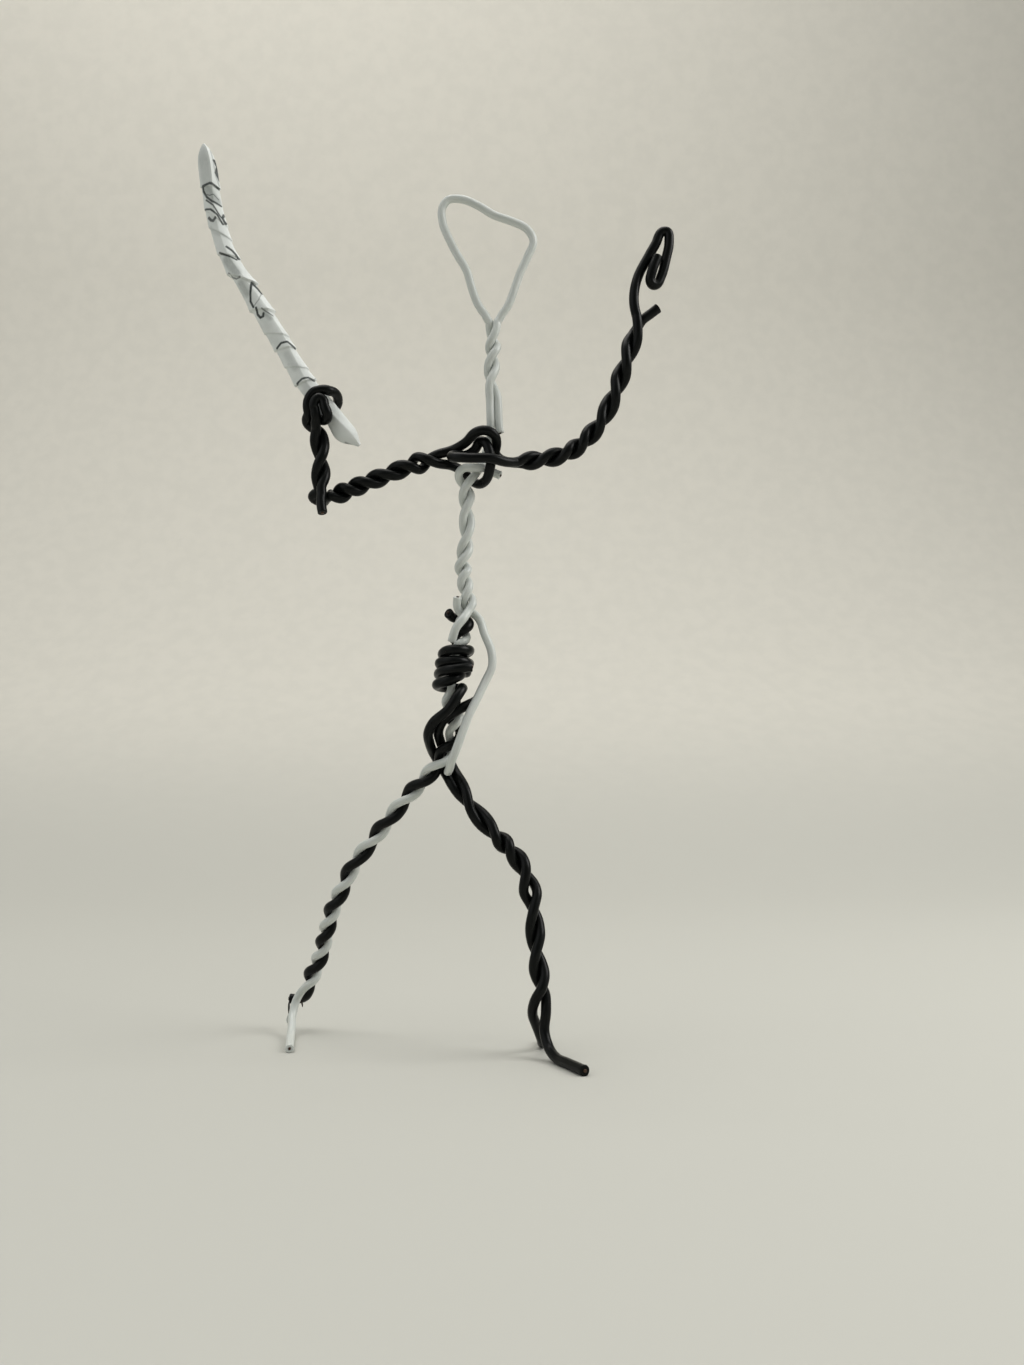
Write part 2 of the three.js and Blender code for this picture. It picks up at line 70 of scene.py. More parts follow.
class Value:
    """One number that varies over a surface, with arithmetic that adds Math nodes."""

    def __init__(self, graph: "Graph", socket: bpy.types.NodeSocket) -> None:
        """Wraps a socket.

        Args:
            graph: the graph that the socket is in.
            socket: the output that carries the number.
        """
        self.graph = graph
        self.socket = socket

    def _math(self, operation: str, first: Any, second: Any) -> "Value":
        """Adds one Math node.

        Args:
            operation: Blender's name of the operation.
            first: a Value or a number.
            second: a Value or a number.

        Returns:
            The result as a Value.
        """
        node = self.graph.node(
            "ShaderNodeMath", {"operation": operation}, {0: first, 1: second}
        )
        return Value(self.graph, node.outputs[0])

    def __add__(self, other: Any) -> "Value":
        """Sum."""
        return self._math("ADD", self, other)

    __radd__ = __add__

    def __sub__(self, other: Any) -> "Value":
        """Difference."""
        return self._math("SUBTRACT", self, other)

    def __rsub__(self, other: Any) -> "Value":
        """Reflected difference."""
        return self._math("SUBTRACT", other, self)

    def __mul__(self, other: Any) -> "Value":
        """Product."""
        return self._math("MULTIPLY", self, other)

    __rmul__ = __mul__

    def step(self, low: float, high: float) -> "Value":
        """Smooth step.

        Args:
            low: the value that gives 0.
            high: the value that gives 1.

        Returns:
            A Value from 0 to 1.
        """
        node = self.graph.node(
            "ShaderNodeMapRange",
            {"interpolation_type": "SMOOTHSTEP"},
            {0: self, 1: low, 2: high},
        )
        return Value(self.graph, node.outputs[0])


class Graph:
    """The node graph of one material, or of the sky."""

    def __init__(self, owner: bpy.types.Material | bpy.types.World) -> None:
        """Empties the owner's graph.

        Args:
            owner: a new material or world.
        """
        self.owner = owner
        owner.use_nodes = True
        self.tree = owner.node_tree
        self.tree.nodes.clear()

    @classmethod
    def of_material(cls, name: str) -> "Graph":
        """The empty graph of a new material."""
        return cls(bpy.data.materials.new(name))

    def node(self, kind: str, settings: dict[str, Any], inputs: dict[Any, Any]) -> bpy.types.Node:
        """Adds one node.

        Args:
            kind: the node's type.
            settings: its settings, set before its sockets.
            inputs: a Value, a socket or a constant for each input, by name or place.

        Returns:
            The node.
        """
        node = self.tree.nodes.new(kind)
        for key, value in settings.items():
            setattr(node, key, value)
        for key, value in inputs.items():
            if isinstance(value, Value):
                value = value.socket
            if isinstance(value, bpy.types.NodeSocket):
                self.tree.links.new(value, node.inputs[key])
            else:
                node.inputs[key].default_value = value
        return node

    def attribute(self, name: str) -> bpy.types.Node:
        """The node that reads one of the mesh's own attributes."""
        return self.node("ShaderNodeAttribute", {"attribute_name": name}, {})

    def place(self, kind: str = "Object") -> bpy.types.NodeSocket:
        """The coordinates of a point, in the piece's own metres unless another kind is named."""
        return self.node("ShaderNodeTexCoord", {}, {}).outputs[kind]

    def parted(self, source: bpy.types.NodeSocket, axis: str) -> Value:
        """One coordinate of a vector."""
        node = self.node("ShaderNodeSeparateXYZ", {}, {0: source})
        return Value(self, node.outputs[axis])

    def stretched(self, source: bpy.types.NodeSocket, by: Sequence[float]) -> bpy.types.NodeSocket:
        """A vector times a constant vector."""
        inputs = {0: source, 1: tuple(by)}
        return self.node("ShaderNodeVectorMath", {"operation": "MULTIPLY"}, inputs).outputs[0]

    def noise(self, source: bpy.types.NodeSocket, scale: float, detail: float = 3.0) -> Value:
        """Smooth noise.

        Args:
            source: the coordinates.
            scale: how many blobs to one unit of the coordinates.
            detail: how many finer layers are added.

        Returns:
            The noise, about 0.5 on average.
        """
        inputs = {"Vector": source, "Scale": scale, "Detail": detail}
        return Value(self, self.node("ShaderNodeTexNoise", {}, inputs).outputs[0])

    def blend(self, share: Any, first: Any, second: Any) -> bpy.types.NodeSocket:
        """Mixes two colours.

        Args:
            share: 0 for the first colour, 1 for the second.
            first: a colour or a socket.
            second: a colour or a socket.

        Returns:
            The mixed colour's socket.
        """
        inputs = {0: share, 6: first, 7: second}
        return self.node("ShaderNodeMix", {"data_type": "RGBA"}, inputs).outputs[2]

    def bump(self, height: Value, depth_mm: float, strength: float) -> bpy.types.NodeSocket:
        """A normal from a height.

        Args:
            height: the height, from 0 to 1.
            depth_mm: how deep 1 is.
            strength: Blender's strength of the bump.

        Returns:
            The normal's socket.
        """
        inputs = {"Strength": strength, "Distance": depth_mm * MM, "Height": height}
        return self.node("ShaderNodeBump", {}, inputs).outputs[0]

    def finish(self, inputs: dict[str, Any]) -> bpy.types.Material:
        """Closes the graph with a Principled shader.

        Args:
            inputs: the shader's inputs by name.

        Returns:
            The material.
        """
        shader = self.node("ShaderNodeBsdfPrincipled", {}, inputs)
        self.node("ShaderNodeOutputMaterial", {}, {"Surface": shader.outputs[0]})
        return self.owner


def rgb(red: float, green: float, blue: float) -> tuple[float, float, float, float]:
    """A linear colour with full alpha."""
    return (red, green, blue, 1.0)


@dataclass(frozen=True)
class Insulation:
    """Soft PVC insulation: satin, with faint lines along the wire from the extruder, and scuffs.

    Attributes:
        name: the material's name.
        tone: its usual colour.
        streak_tone: the colour along the extruder's lines.
        scuff_tone: the colour of dust and rubbed places.
        scuffing: the share of the surface that is scuffed.
        roughness: the usual roughness.
        translucency: how much light goes into the plastic.
        shine: how strongly it mirrors, 0.5 being usual.
    """

    name: str
    tone: tuple[float, float, float]
    streak_tone: tuple[float, float, float]
    scuff_tone: tuple[float, float, float]
    scuffing: float
    roughness: float
    translucency: float
    shine: float

    def material(self) -> bpy.types.Material:
        """The finish as a material.

        Returns:
            The material. It reads the attribute "wrap", which holds the place round and along the
            wire in millimetres, so that the lines follow each bend.
        """
        g = Graph.of_material(self.name)
        wrap = g.attribute("wrap").outputs["Vector"]
        place = g.place()
        lines = g.noise(g.stretched(wrap, (1.0, 1.0, 0.05)), scale=4.5, detail=2.0)
        mottle = g.noise(place, scale=420.0, detail=4.0)
        rubbed = g.noise(g.stretched(wrap, (1.0, 1.0, 0.35)), scale=1.6, detail=5.0)
        scuff = rubbed.step(0.74 - 0.3 * self.scuffing, 0.86 - 0.25 * self.scuffing)
        streaked = g.blend(lines.step(0.42, 0.72), rgb(*self.tone), rgb(*self.streak_tone))
        colour = g.blend(scuff * 0.55, streaked, rgb(*self.scuff_tone))
        roughness = mottle * 0.16 + scuff * 0.18 + (self.roughness - 0.08)
        height = lines * 0.55 + mottle * 0.35 + scuff * 0.3
        return g.finish(
            {
                "Base Color": colour,
                "Roughness": roughness,
                "IOR": 1.5,
                "Specular IOR Level": self.shine,
                "Subsurface Weight": self.translucency,
                "Subsurface Radius": (1.0, 0.9, 0.75),
                "Subsurface Scale": 0.35 * MM,
                "Normal": g.bump(height, depth_mm=0.03, strength=0.55),
            }
        )


@dataclass(frozen=True)
class CutCopper:
    """Bare copper at a cut, bright in some places and brown in others at random.

    Attributes:
        name: the material's name.
        bright: the colour of the fresh cut.
        tarnish: the colour of the tarnish.
    """

    name: str = "cut_copper"
    bright: tuple[float, float, float] = (0.1, 0.066, 0.05)
    tarnish: tuple[float, float, float] = (0.02, 0.017, 0.016)

    def material(self) -> bpy.types.Material:
        """The finish as a material."""
        g = Graph.of_material(self.name)
        place = g.place()
        grain = g.noise(g.stretched(place, (1.0, 3.0, 1.0)), scale=2600.0)
        stain = g.noise(place, scale=900.0, detail=2.0)
        colour = g.blend(stain.step(0.35, 0.6) * 0.75, rgb(*self.bright), rgb(*self.tarnish))
        return g.finish(
            {
                "Base Color": colour,
                "Metallic": 1.0,
                "Roughness": grain * 0.3 + 0.25,
                "Normal": g.bump(grain, depth_mm=0.02, strength=0.6),
            }
        )


@dataclass(frozen=True)
class DrawnPaper:
    """Thin white paper with fibres, ink strokes and pencil grey, with painted shade on some facets
    and along the edges of its wraps, and one painted shadow in ink.

    Attributes:
        name: the material's name.
        tone: the paper's colour.
        shade_tone: the colour of its thin and handled places, and of the painted shade along the
            edges of its wraps.
        ink_and_shadow_tone: the colour of the pen, also used for one painted shadow.
        pencil_and_shade_tone: the colour of the pencil grey, and of the painted shade on facets that
            face away from the light.
    """

    name: str = "drawn_paper"
    tone: tuple[float, float, float] = (0.74, 0.77, 0.75)
    shade_tone: tuple[float, float, float] = (0.58, 0.61, 0.59)
    ink_and_shadow_tone: tuple[float, float, float] = (0.012, 0.02, 0.018)
    pencil_and_shade_tone: tuple[float, float, float] = (0.3, 0.33, 0.315)

    def material(self) -> bpy.types.Material:
        """The finish as a material.

        Returns:
            The material. It reads the attributes "ink", "pencil" and "fold" from the mesh: the pen's
            strokes with one painted shadow, pencil grey with painted shade on facets, and painted
            shade along the edges of the wraps.
        """
        g = Graph.of_material(self.name)
        place = g.place()
        fibre = g.noise(g.stretched(place, (1.0, 1.0, 0.5)), scale=3200.0, detail=4.0)
        cloud = g.noise(place, scale=260.0)
        bare = g.blend(cloud.step(0.45, 0.8) * 0.6, rgb(*self.tone), rgb(*self.shade_tone))
        # Painted shade: the paper turns towards the shade colour along each wrap's lower edge, where
        # it steps in to the wrap below.
        seam_shade = Value(g, g.attribute("seam_shade").outputs["Fac"])
        seam_shaded = g.blend(seam_shade * 0.5, bare, rgb(*self.shade_tone))
        # Partly pencil grey and partly painted shade: some of these patches darken facets that face
        # away from the light, such as the flat panel at the tip.
        pencil_and_shade = Value(g, g.attribute("pencil_and_shade").outputs["Fac"])
        # The ink colour also paints one shadow: a short dark nick near the nib.
        ink_and_shadow = Value(g, g.attribute("ink_and_shadow").outputs["Fac"])
        shaded = g.blend(pencil_and_shade * (fibre * 0.7 + 0.55), seam_shaded, rgb(*self.pencil_and_shade_tone))
        drawn = g.blend(ink_and_shadow * (fibre * 0.3 + 0.8), shaded, rgb(*self.ink_and_shadow_tone))
        return g.finish(
            {
                "Base Color": drawn,
                "Roughness": 0.78 - ink_and_shadow * 0.25,
                "IOR": 1.45,
                "Subsurface Weight": 0.12,
                "Subsurface Radius": (1.0, 1.0, 1.0),
                "Subsurface Scale": 0.25 * MM,
                "Normal": g.bump(fibre * 0.5 + cloud * 0.5, depth_mm=0.05, strength=0.5),
            }
        )


@dataclass(frozen=True)
class StudioCard:
    """The matt card of the floor and backdrop, a little greyer on the floor.

    Attributes:
        name: the material's name.
        wall_tone: its colour where it stands up.
        floor_tone: its colour where it lies flat.
        bend_from: the height at which it has its wall's colour, in metres.
    """

    name: str = "studio_card"
    wall_tone: tuple[float, float, float] = (0.66, 0.645, 0.585)
    floor_tone: tuple[float, float, float] = (0.5, 0.5, 0.46)
    bend_from: float = 0.12

    def material(self) -> bpy.types.Material:
        """The finish as a material."""
        g = Graph.of_material(self.name)
        place = g.place()
        grain = g.noise(place, scale=90.0, detail=4.0)
        rise = g.parted(place, "Z").step(0.0, self.bend_from)
        card = g.blend(rise, rgb(*self.floor_tone), rgb(*self.wall_tone))
        colour = g.blend(grain.step(0.3, 0.7) * 0.15, card, rgb(*self.floor_tone))
        return g.finish({"Base Color": colour, "Roughness": 0.85, "Specular IOR Level": 0.2})


WHITE_PVC = Insulation(
    name="white_pvc",
    tone=(0.56, 0.59, 0.56),
    streak_tone=(0.62, 0.645, 0.62),
    scuff_tone=(0.42, 0.43, 0.4),
    scuffing=0.12,
    roughness=0.36,
    translucency=0.15,
    shine=0.5,
)
BLACK_PVC = Insulation(
    name="black_pvc",
    tone=(0.0028, 0.0034, 0.0031),
    streak_tone=(0.005, 0.006, 0.0056),
    scuff_tone=(0.016, 0.017, 0.015),
    scuffing=0.25,
    roughness=0.3,
    translucency=0.0,
    shine=0.13,
)


# Meshes


def grid_mesh(name: str, grid: Array, attributes: dict[str, Array]) -> bpy.types.Object:
    """A closed tube from a grid of points, with a pole at each end.

    Ring i is joined to ring i + 1 by quads that run round and close on themselves. The first and
    the last ring are closed by a fan to their own middle, which must lie in that ring's face.

    Args:
        name: the object's name.
        grid: rings by sides by 3, in metres, with the sides anticlockwise seen from the end.
        attributes: a number or a vector for each point of the grid.

    Returns:
        The object, with smooth shading.
    """
    rings, sides, _ = grid.shape
    points = np.concatenate([grid.reshape(-1, 3), grid[0].mean(0)[None], grid[-1].mean(0)[None]])
    i = np.arange(rings - 1)[:, None] * sides
    j = np.arange(sides)[None, :]
    k = (j + 1) % sides
    quads = np.stack([i + j, i + k, i + sides + k, i + sides + j], -1).reshape(-1, 4)
    j, k = j[0], k[0]
    first, last = rings * sides, rings * sides + 1
    ends = np.concatenate(
        [
            np.stack([np.full(sides, first), k, j], -1),
            np.stack([np.full(sides, last), (rings - 1) * sides + j, (rings - 1) * sides + k], -1),
        ]
    )
    mesh = bpy.data.meshes.new(name)
    mesh.vertices.add(len(points))
    mesh.vertices.foreach_set("co", points.astype(np.float32).ravel())
    corners = np.concatenate([quads.ravel(), ends.ravel()])
    totals = np.concatenate([np.full(len(quads), 4), np.full(len(ends), 3)])
    mesh.loops.add(len(corners))
    mesh.loops.foreach_set("vertex_index", corners.astype(np.int32))
    mesh.polygons.add(len(totals))
    starts = np.concatenate([[0], np.cumsum(totals)[:-1]])
    mesh.polygons.foreach_set("loop_start", starts.astype(np.int32))
    mesh.update(calc_edges=True)
    for key, values in attributes.items():
        flat = values.reshape(rings * sides, -1)
        tips = np.stack([flat[:sides].mean(0), flat[-sides:].mean(0)])
        flat = np.concatenate([flat, tips]).astype(np.float32)
        vector = flat.shape[1] == 3
        layer = mesh.attributes.new(key, "FLOAT_VECTOR" if vector else "FLOAT", "POINT")
        layer.data.foreach_set("vector" if vector else "value", flat.ravel())
    mesh.validate()
    mesh.shade_smooth()
    piece = bpy.data.objects.new(name, mesh)
    bpy.context.scene.collection.objects.link(piece)
    return piece


def joined(name: str, parts: list[bpy.types.Object]) -> bpy.types.Object:
    """Joins pieces into one object.

    Args:
        name: the joined object's name.
        parts: the objects, which are used up.

    Returns:
        The joined object.
    """
    if len(parts) > 1:
        with bpy.context.temp_override(
            active_object=parts[0], selected_editable_objects=parts, selected_objects=parts
        ):
            bpy.ops.object.join()
    parts[0].name = name
    parts[0].data.name = name
    return parts[0]


def hermite(points: Array, spacing: float) -> Array:
    """A smooth line through points, with even steps.

    Each span is a cubic whose end slopes are the chord slopes on both sides of the point, each
    weighted by the length of the other chord. The line is then walked at even lengths.

    Args:
        points: the points, n by any width, the first three columns being the place.
        spacing: the step, in the points' unit.

    Returns:
        The line's rows.
    """
    chord = np.linalg.norm(np.diff(points[:, :3], axis=0), axis=1)
    slope = np.diff(points, axis=0) / chord[:, None]
    inner = (slope[1:] * chord[:-1, None] + slope[:-1] * chord[1:, None]) / (
        chord[1:, None] + chord[:-1, None]
    )
    ends = np.concatenate([slope[:1], inner, slope[-1:]])
    per_span = 24
    u = np.linspace(0, 1, per_span, endpoint=False)[None, :, None]
    a, b = points[:-1, None], points[1:, None]
    m, n = ends[:-1, None] * chord[:, None, None], ends[1:, None] * chord[:, None, None]
    fine = (
        (2 * u**3 - 3 * u**2 + 1) * a
        + (u**3 - 2 * u**2 + u) * m
        + (3 * u**2 - 2 * u**3) * b
        + (u**3 - u**2) * n
    ).reshape(-1, points.shape[1])
    fine = np.concatenate([fine, points[-1:]])
    run = np.concatenate([[0], np.cumsum(np.linalg.norm(np.diff(fine[:, :3], axis=0), axis=1))])
    stops = np.linspace(0, run[-1], max(4, int(round(run[-1] / spacing)) + 1))
    return np.stack([np.interp(stops, run, column) for column in fine.T], -1)


def softened(line: Array, width: float, spacing: float) -> Array:
    """A line whose kinks are evened out by a bell-shaped mean, with its ends kept.

    Args:
        line: evenly spaced points.
        width: the bell's half width, in the line's unit.
        spacing: the line's step.

    Returns:
        The line, as long in points.
    """
    reach = max(1, int(3 * width / spacing))
    bell = np.exp(-0.5 * (np.arange(-reach, reach + 1) * spacing / width) ** 2)
    bell /= bell.sum()
    before = 2 * line[:1] - line[reach:0:-1]
    after = 2 * line[-1:] - line[-2 : -reach - 2 : -1]
    padded = np.concatenate([before, line, after])
    return np.stack([np.convolve(column, bell, "valid") for column in padded.T], -1)


def unit(vectors: Array) -> Array:
    """Vectors of length 1 along the last axis."""
    return vectors / np.linalg.norm(vectors, axis=-1, keepdims=True)


def carried_frames(line: Array) -> tuple[Array, Array, Array]:
    """Directions along a line that turn with it and don't spin round it.

    Args:
        line: the points of the line.

    Returns:
        The tangent, and two directions square to it, for each point.
    """
    tangent = unit(np.gradient(line, axis=0))
    side = np.empty_like(tangent)
    start = np.cross(tangent[0], (0.0, 0.0, 1.0))
    if np.linalg.norm(start) < 0.2:
        start = np.cross(tangent[0], (1.0, 0.0, 0.0))
    side[0] = unit(start)
    for n in range(1, len(line)):
        kept = side[n - 1] - tangent[n] * (side[n - 1] @ tangent[n])
        side[n] = kept / np.linalg.norm(kept)
    return tangent, side, np.cross(tangent, side)


def spokes(angles: Array, side: Array, other: Array) -> Array:
    """Unit vectors round a line: cosine times one direction plus sine times the other."""
    return np.cos(angles)[..., None] * side + np.sin(angles)[..., None] * other


def placed(piece: bpy.types.Object, finish: bpy.types.Material) -> bpy.types.Object:
    """Dresses a piece and puts it on the part's one body.

    Args:
        piece: the piece.
        finish: its material.

    Returns:
        The piece.
    """
    piece.data.materials.append(finish)
    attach(piece, "root")
    return piece


def ripple(along: Array, around: Array, seed: int, waves: int, length: float) -> Array:
    """Gentle unevenness: a sum of slow waves along a wire and round it, about 1 high.

    Args:
        along: the length along the wire, as a column.
        around: the angle round it, as a row.
        seed: picks the waves.
        waves: how many waves are added.
        length: the usual wavelength.

    Returns:
        The sum, along by around.
    """
    rng = np.random.default_rng(seed)
    total = np.zeros(np.broadcast(along, around).shape)
    for _ in range(waves):
        wavelength = length * rng.uniform(0.5, 2.0)
        turns = rng.integers(0, 4)
        phase, twist = rng.uniform(0, 2 * math.pi, 2)
        total += np.cos(2 * math.pi * along / wavelength + phase) * np.cos(turns * around + twist)
    return total / math.sqrt(waves)


# Reading the frame's solids


@dataclass
class Solid:
    """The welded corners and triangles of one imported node.

    Attributes:
        node: the node's name.
    """

    node: str
    WIRE_SIDES: ClassVar[int] = 8
    RIM_COSINE: ClassVar[float] = 0.42
    FLAT_WITHIN: ClassVar[float] = 0.01
    corners: Array = field(init=False)
    triangles: Array = field(init=False)

    def __post_init__(self) -> None:
        """Welds the node's loose triangles, in millimetres."""
        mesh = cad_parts[self.node].data
        mesh.calc_loop_triangles()
        places = np.empty(len(mesh.vertices) * 3, np.float32)
        mesh.vertices.foreach_get("co", places)
        index = np.empty(len(mesh.loop_triangles) * 3, np.int32)
        mesh.loop_triangles.foreach_get("vertices", index)
        places = places.reshape(-1, 3).astype(float) / MM
        _, first, weld = np.unique(
            np.round(places, 3), axis=0, return_index=True, return_inverse=True
        )
        self.corners = places[first]
        self.triangles = weld.ravel()[index].reshape(-1, 3)

    def edges(self) -> Array:
        """Each edge of each triangle, as pairs of corners."""
        t = self.triangles
        return np.concatenate([t[:, [0, 1]], t[:, [1, 2]], t[:, [2, 0]]])

    def peeled(self, start: Array) -> list[Array]:
        """Rings of corners, each next to the one before, from a first ring or pole on.

        Args:
            start: the corners of the first ring.

        Returns:
            The rings as arrays of corner numbers.
        """
        edges = self.edges()
        edges = np.concatenate([edges, edges[:, ::-1]])
        rings, seen = [start], set(start.tolist())
        while True:
            near = np.unique(edges[np.isin(edges[:, 0], rings[-1]), 1])
            fresh = np.array([c for c in near.tolist() if c not in seen], int)
            if not len(fresh):
                return rings
            rings.append(fresh)
            seen.update(fresh.tolist())

    def cap(self) -> Array:
        """The corners of one flat end of a wire.

        Two triangles meet at more than about 65 degrees at the rim of an end, and elsewhere only
        at a kink, whose corners don't lie in one plane.

        Returns:
            The corner numbers of one rim.
        """
        a, b, c = (self.corners[self.triangles[:, n]] for n in range(3))
        normal = unit(np.cross(b - a, c - a))
        pairs = np.sort(self.edges(), axis=1)
        owner = np.tile(np.arange(len(self.triangles)), 3)
        order = np.lexsort((pairs[:, 1], pairs[:, 0]))
        pairs, owner = pairs[order], owner[order]
        facing = (normal[owner[0::2]] * normal[owner[1::2]]).sum(1)
        rim = pairs[0::2][facing < self.RIM_COSINE]
        left = set(np.unique(rim).tolist())
        while left:
            ring, grown = set(), {left.pop()}
            while grown != ring:
                ring = grown
                grown = ring | set(rim[np.isin(rim, list(ring)).any(axis=1)].ravel().tolist())
            left -= ring
            corners = self.corners[sorted(ring)]
            flatness = np.linalg.svd(corners - corners.mean(0))[1][-1]
            if len(ring) == self.WIRE_SIDES and flatness < self.FLAT_WITHIN:
                return np.array(sorted(ring))
        raise ValueError(f"{self.node} has no flat end")

    def wire_line(self) -> Array:
        """The middles of a wire's rings from one end to the other."""
        return np.array([self.corners[ring].mean(0) for ring in self.peeled(self.cap())])


# Wires


@dataclass(frozen=True)
class Cut:
    """How one end of a wire was cut.

    Attributes:
        slant: the tilt of the cut face, as its rise over its width.
        turn: the direction of the tilt round the wire, in radians.
        core_out: how far the copper stands out of the face, in millimetres.
        pinch: how much the cutter flattened the end, as a share of its width.
    """

    slant: float = 0.15
    turn: float = 0.0
    core_out: float = 0.05
    pinch: float = 0.06


@dataclass
class Wire:
    """One insulated wire: a round tube carried along the middle line of its solid.

    Attributes:
        node: the solid that it replaces.
        diameter: over the insulation, in millimetres.
        core_diameter: of the copper.
        finish: the insulation's finish.
        slot: the record's material slot; not used.
        seed: picks its unevenness.
        cuts: its two ends, the first and the last of the line.
    """

    node: str
    diameter: float
    core_diameter: float
    finish: Insulation
    slot: Slot
    seed: int
    cuts: tuple[Cut, Cut] = (Cut(), Cut())
    SIDES: ClassVar[int] = 28
    CORE_SIDES: ClassVar[int] = 16
    FILLET: ClassVar[float] = 0.16
    STEP: ClassVar[float] = 0.32
    EVENING: ClassVar[float] = 0.35
    line: Array = field(init=False)

    def __post_init__(self) -> None:
        """Takes the middle line from the solid and smooths it."""
        line = hermite(Solid(self.node).wire_line(), self.STEP)
        self.line = softened(line, self.EVENING, self.STEP)

    def section_rows(self, cut: Cut) -> tuple[Array, Array]:
        """The rings that close one end, from the wall to the rim of the core.

        The profile is a quarter circle over the rim, a flat face and a shallow dimple.

        Args:
            cut: the end's cut; not used.

        Returns:
            Each ring's radius as a share of the wire's, and its distance past the last ring of
            the wall, in millimetres.
        """
        angles = np.linspace(0, math.pi / 2, 5)
        shares = 1 - self.FILLET + self.FILLET * np.cos(angles)
        past = self.FILLET * np.sin(angles) * self.diameter / 2
        core = self.core_diameter / self.diameter
        shares = np.concatenate([shares, [0.66, core + 0.06, core * 0.9, core * 0.45]])
        dent = past[-1] + np.array([0.0, -0.02, -0.1, -0.12])
        return shares, np.concatenate([past, dent])

    def insulation(self) -> bpy.types.Object:
        """The tube of insulation.

        A point is the line's point plus the radius times a unit vector at the angle round the
        line. The radius is the wire's half width, times 1 plus slow ripples, and plus an oval
        that follows the bend: a bent wire is a little wider square to the plane of the bend.

        Returns:
            The piece.
        """
        line, steps, radius = self.line, len(self.line), self.diameter / 2
        tangent, side, other = carried_frames(line)
        angles = np.linspace(0, 2 * math.pi, self.SIDES, endpoint=False)[None, :]
        along = (np.arange(steps) * self.STEP)[:, None]
        bend = np.gradient(tangent, axis=0) / self.STEP
        curvature = np.linalg.norm(bend, axis=1, keepdims=True)
        toward = np.arctan2((bend * other).sum(1), (bend * side).sum(1))[:, None]
        oval = np.minimum(curvature * radius, 0.8) * 0.055
        shape = 1 + 0.008 * ripple(along, angles, self.seed, 9, 9.0)
        shape = shape - oval * np.cos(2 * (angles - toward))
        rows, cells, lengths = [], [], []
        for end, cut in ((0, self.cuts[0]), (-1, self.cuts[1])):
            shares, past = self.section_rows(cut)
            shares, past = shares[:, None], past[:, None]
            out = -tangent[0] if end == 0 else tangent[-1]
            tilt = cut.slant * shares * radius * np.cos(angles - cut.turn)
            reach = past - cut.slant * radius + tilt * np.linspace(0, 1, len(past))[:, None]
            squeeze = 1 - cut.pinch * np.cos(2 * (angles - cut.turn))
            ring = shape[end] * shares * squeeze * radius
            points = line[end] + ring[..., None] * spokes(angles, side[end], other[end])
            points = points + reach[..., None] * out
            rows.append(points)
            lengths.append(np.broadcast_to(along[end] + past * (1 if end else -1), ring.shape))
        round_line = spokes(angles, side[:, None], other[:, None])
        wall = line[:, None] + radius * shape[..., None] * round_line
        skip = max(1, int(round(self.cuts[0].slant * 2 * radius / self.STEP)) + 1)
        stop = max(1, int(round(self.cuts[1].slant * 2 * radius / self.STEP)) + 1)
        grid = np.concatenate([rows[0][::-1], wall[skip:-stop], rows[1]])
        length = np.concatenate(
            [lengths[0][::-1], np.broadcast_to(along, wall.shape[:2])[skip:-stop], lengths[1]]
        )
        wrap = np.stack(
            [
                radius * np.broadcast_to(np.cos(angles), length.shape),
                radius * np.broadcast_to(np.sin(angles), length.shape),
                length + 37.0 * self.seed,
            ],
            -1,
        )
        return grid_mesh(f"{self.node}_insulation", grid * MM, {"wrap": wrap})

    def cores(self) -> bpy.types.Object:
        """The copper at both ends.

        Each is a short bar along the wire's end, whose end face is a low ridge left by the
        cutter: a flat disc, raised by a few hundredths of its width along one line across it.

        Returns:
            Both bars as one piece.
        """
        tangent, side, _ = carried_frames(self.line)
        angles = np.linspace(0, 2 * math.pi, self.CORE_SIDES, endpoint=False)[None, :]
        radius = self.core_diameter / 2
        bars = []
        for end, cut in ((0, self.cuts[0]), (-1, self.cuts[1])):
            out = -tangent[0] if end == 0 else tangent[-1]
            across = side[end] if end == 0 else side[-1]
            up = np.cross(out, across)
            depth = np.array([-1.2, -1.1, -0.4, 0.0, 0.03, 0.05])[:, None]
            share = np.array([0.5, 1.0, 1.0, 1.0, 0.8, 0.35])[:, None]
            ridge = 0.12 * radius * (1 - np.abs(np.cos(angles - cut.turn))) * (depth > -0.3)
            place = depth + ridge + cut.core_out + self.FILLET * self.diameter / 2
            place = place - cut.slant * radius
            ring = share * radius
            points = self.line[end] + ring[..., None] * spokes(angles, across, up)
            points = points + place[..., None] * out
            bars.append(grid_mesh(f"{self.node}_core_{len(bars)}", points * MM, {}))
        return joined(f"{self.node}_cores", bars)

    def build(self, copper: CutCopper) -> list[bpy.types.Object]:
        """Makes, dresses and places the wire's pieces.

        Args:
            copper: the finish of the cores.

        Returns:
            The pieces.
        """
        tube = placed(self.insulation(), self.finish.material())
        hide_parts(self.node)
        return [tube, placed(self.cores(), copper.material())]


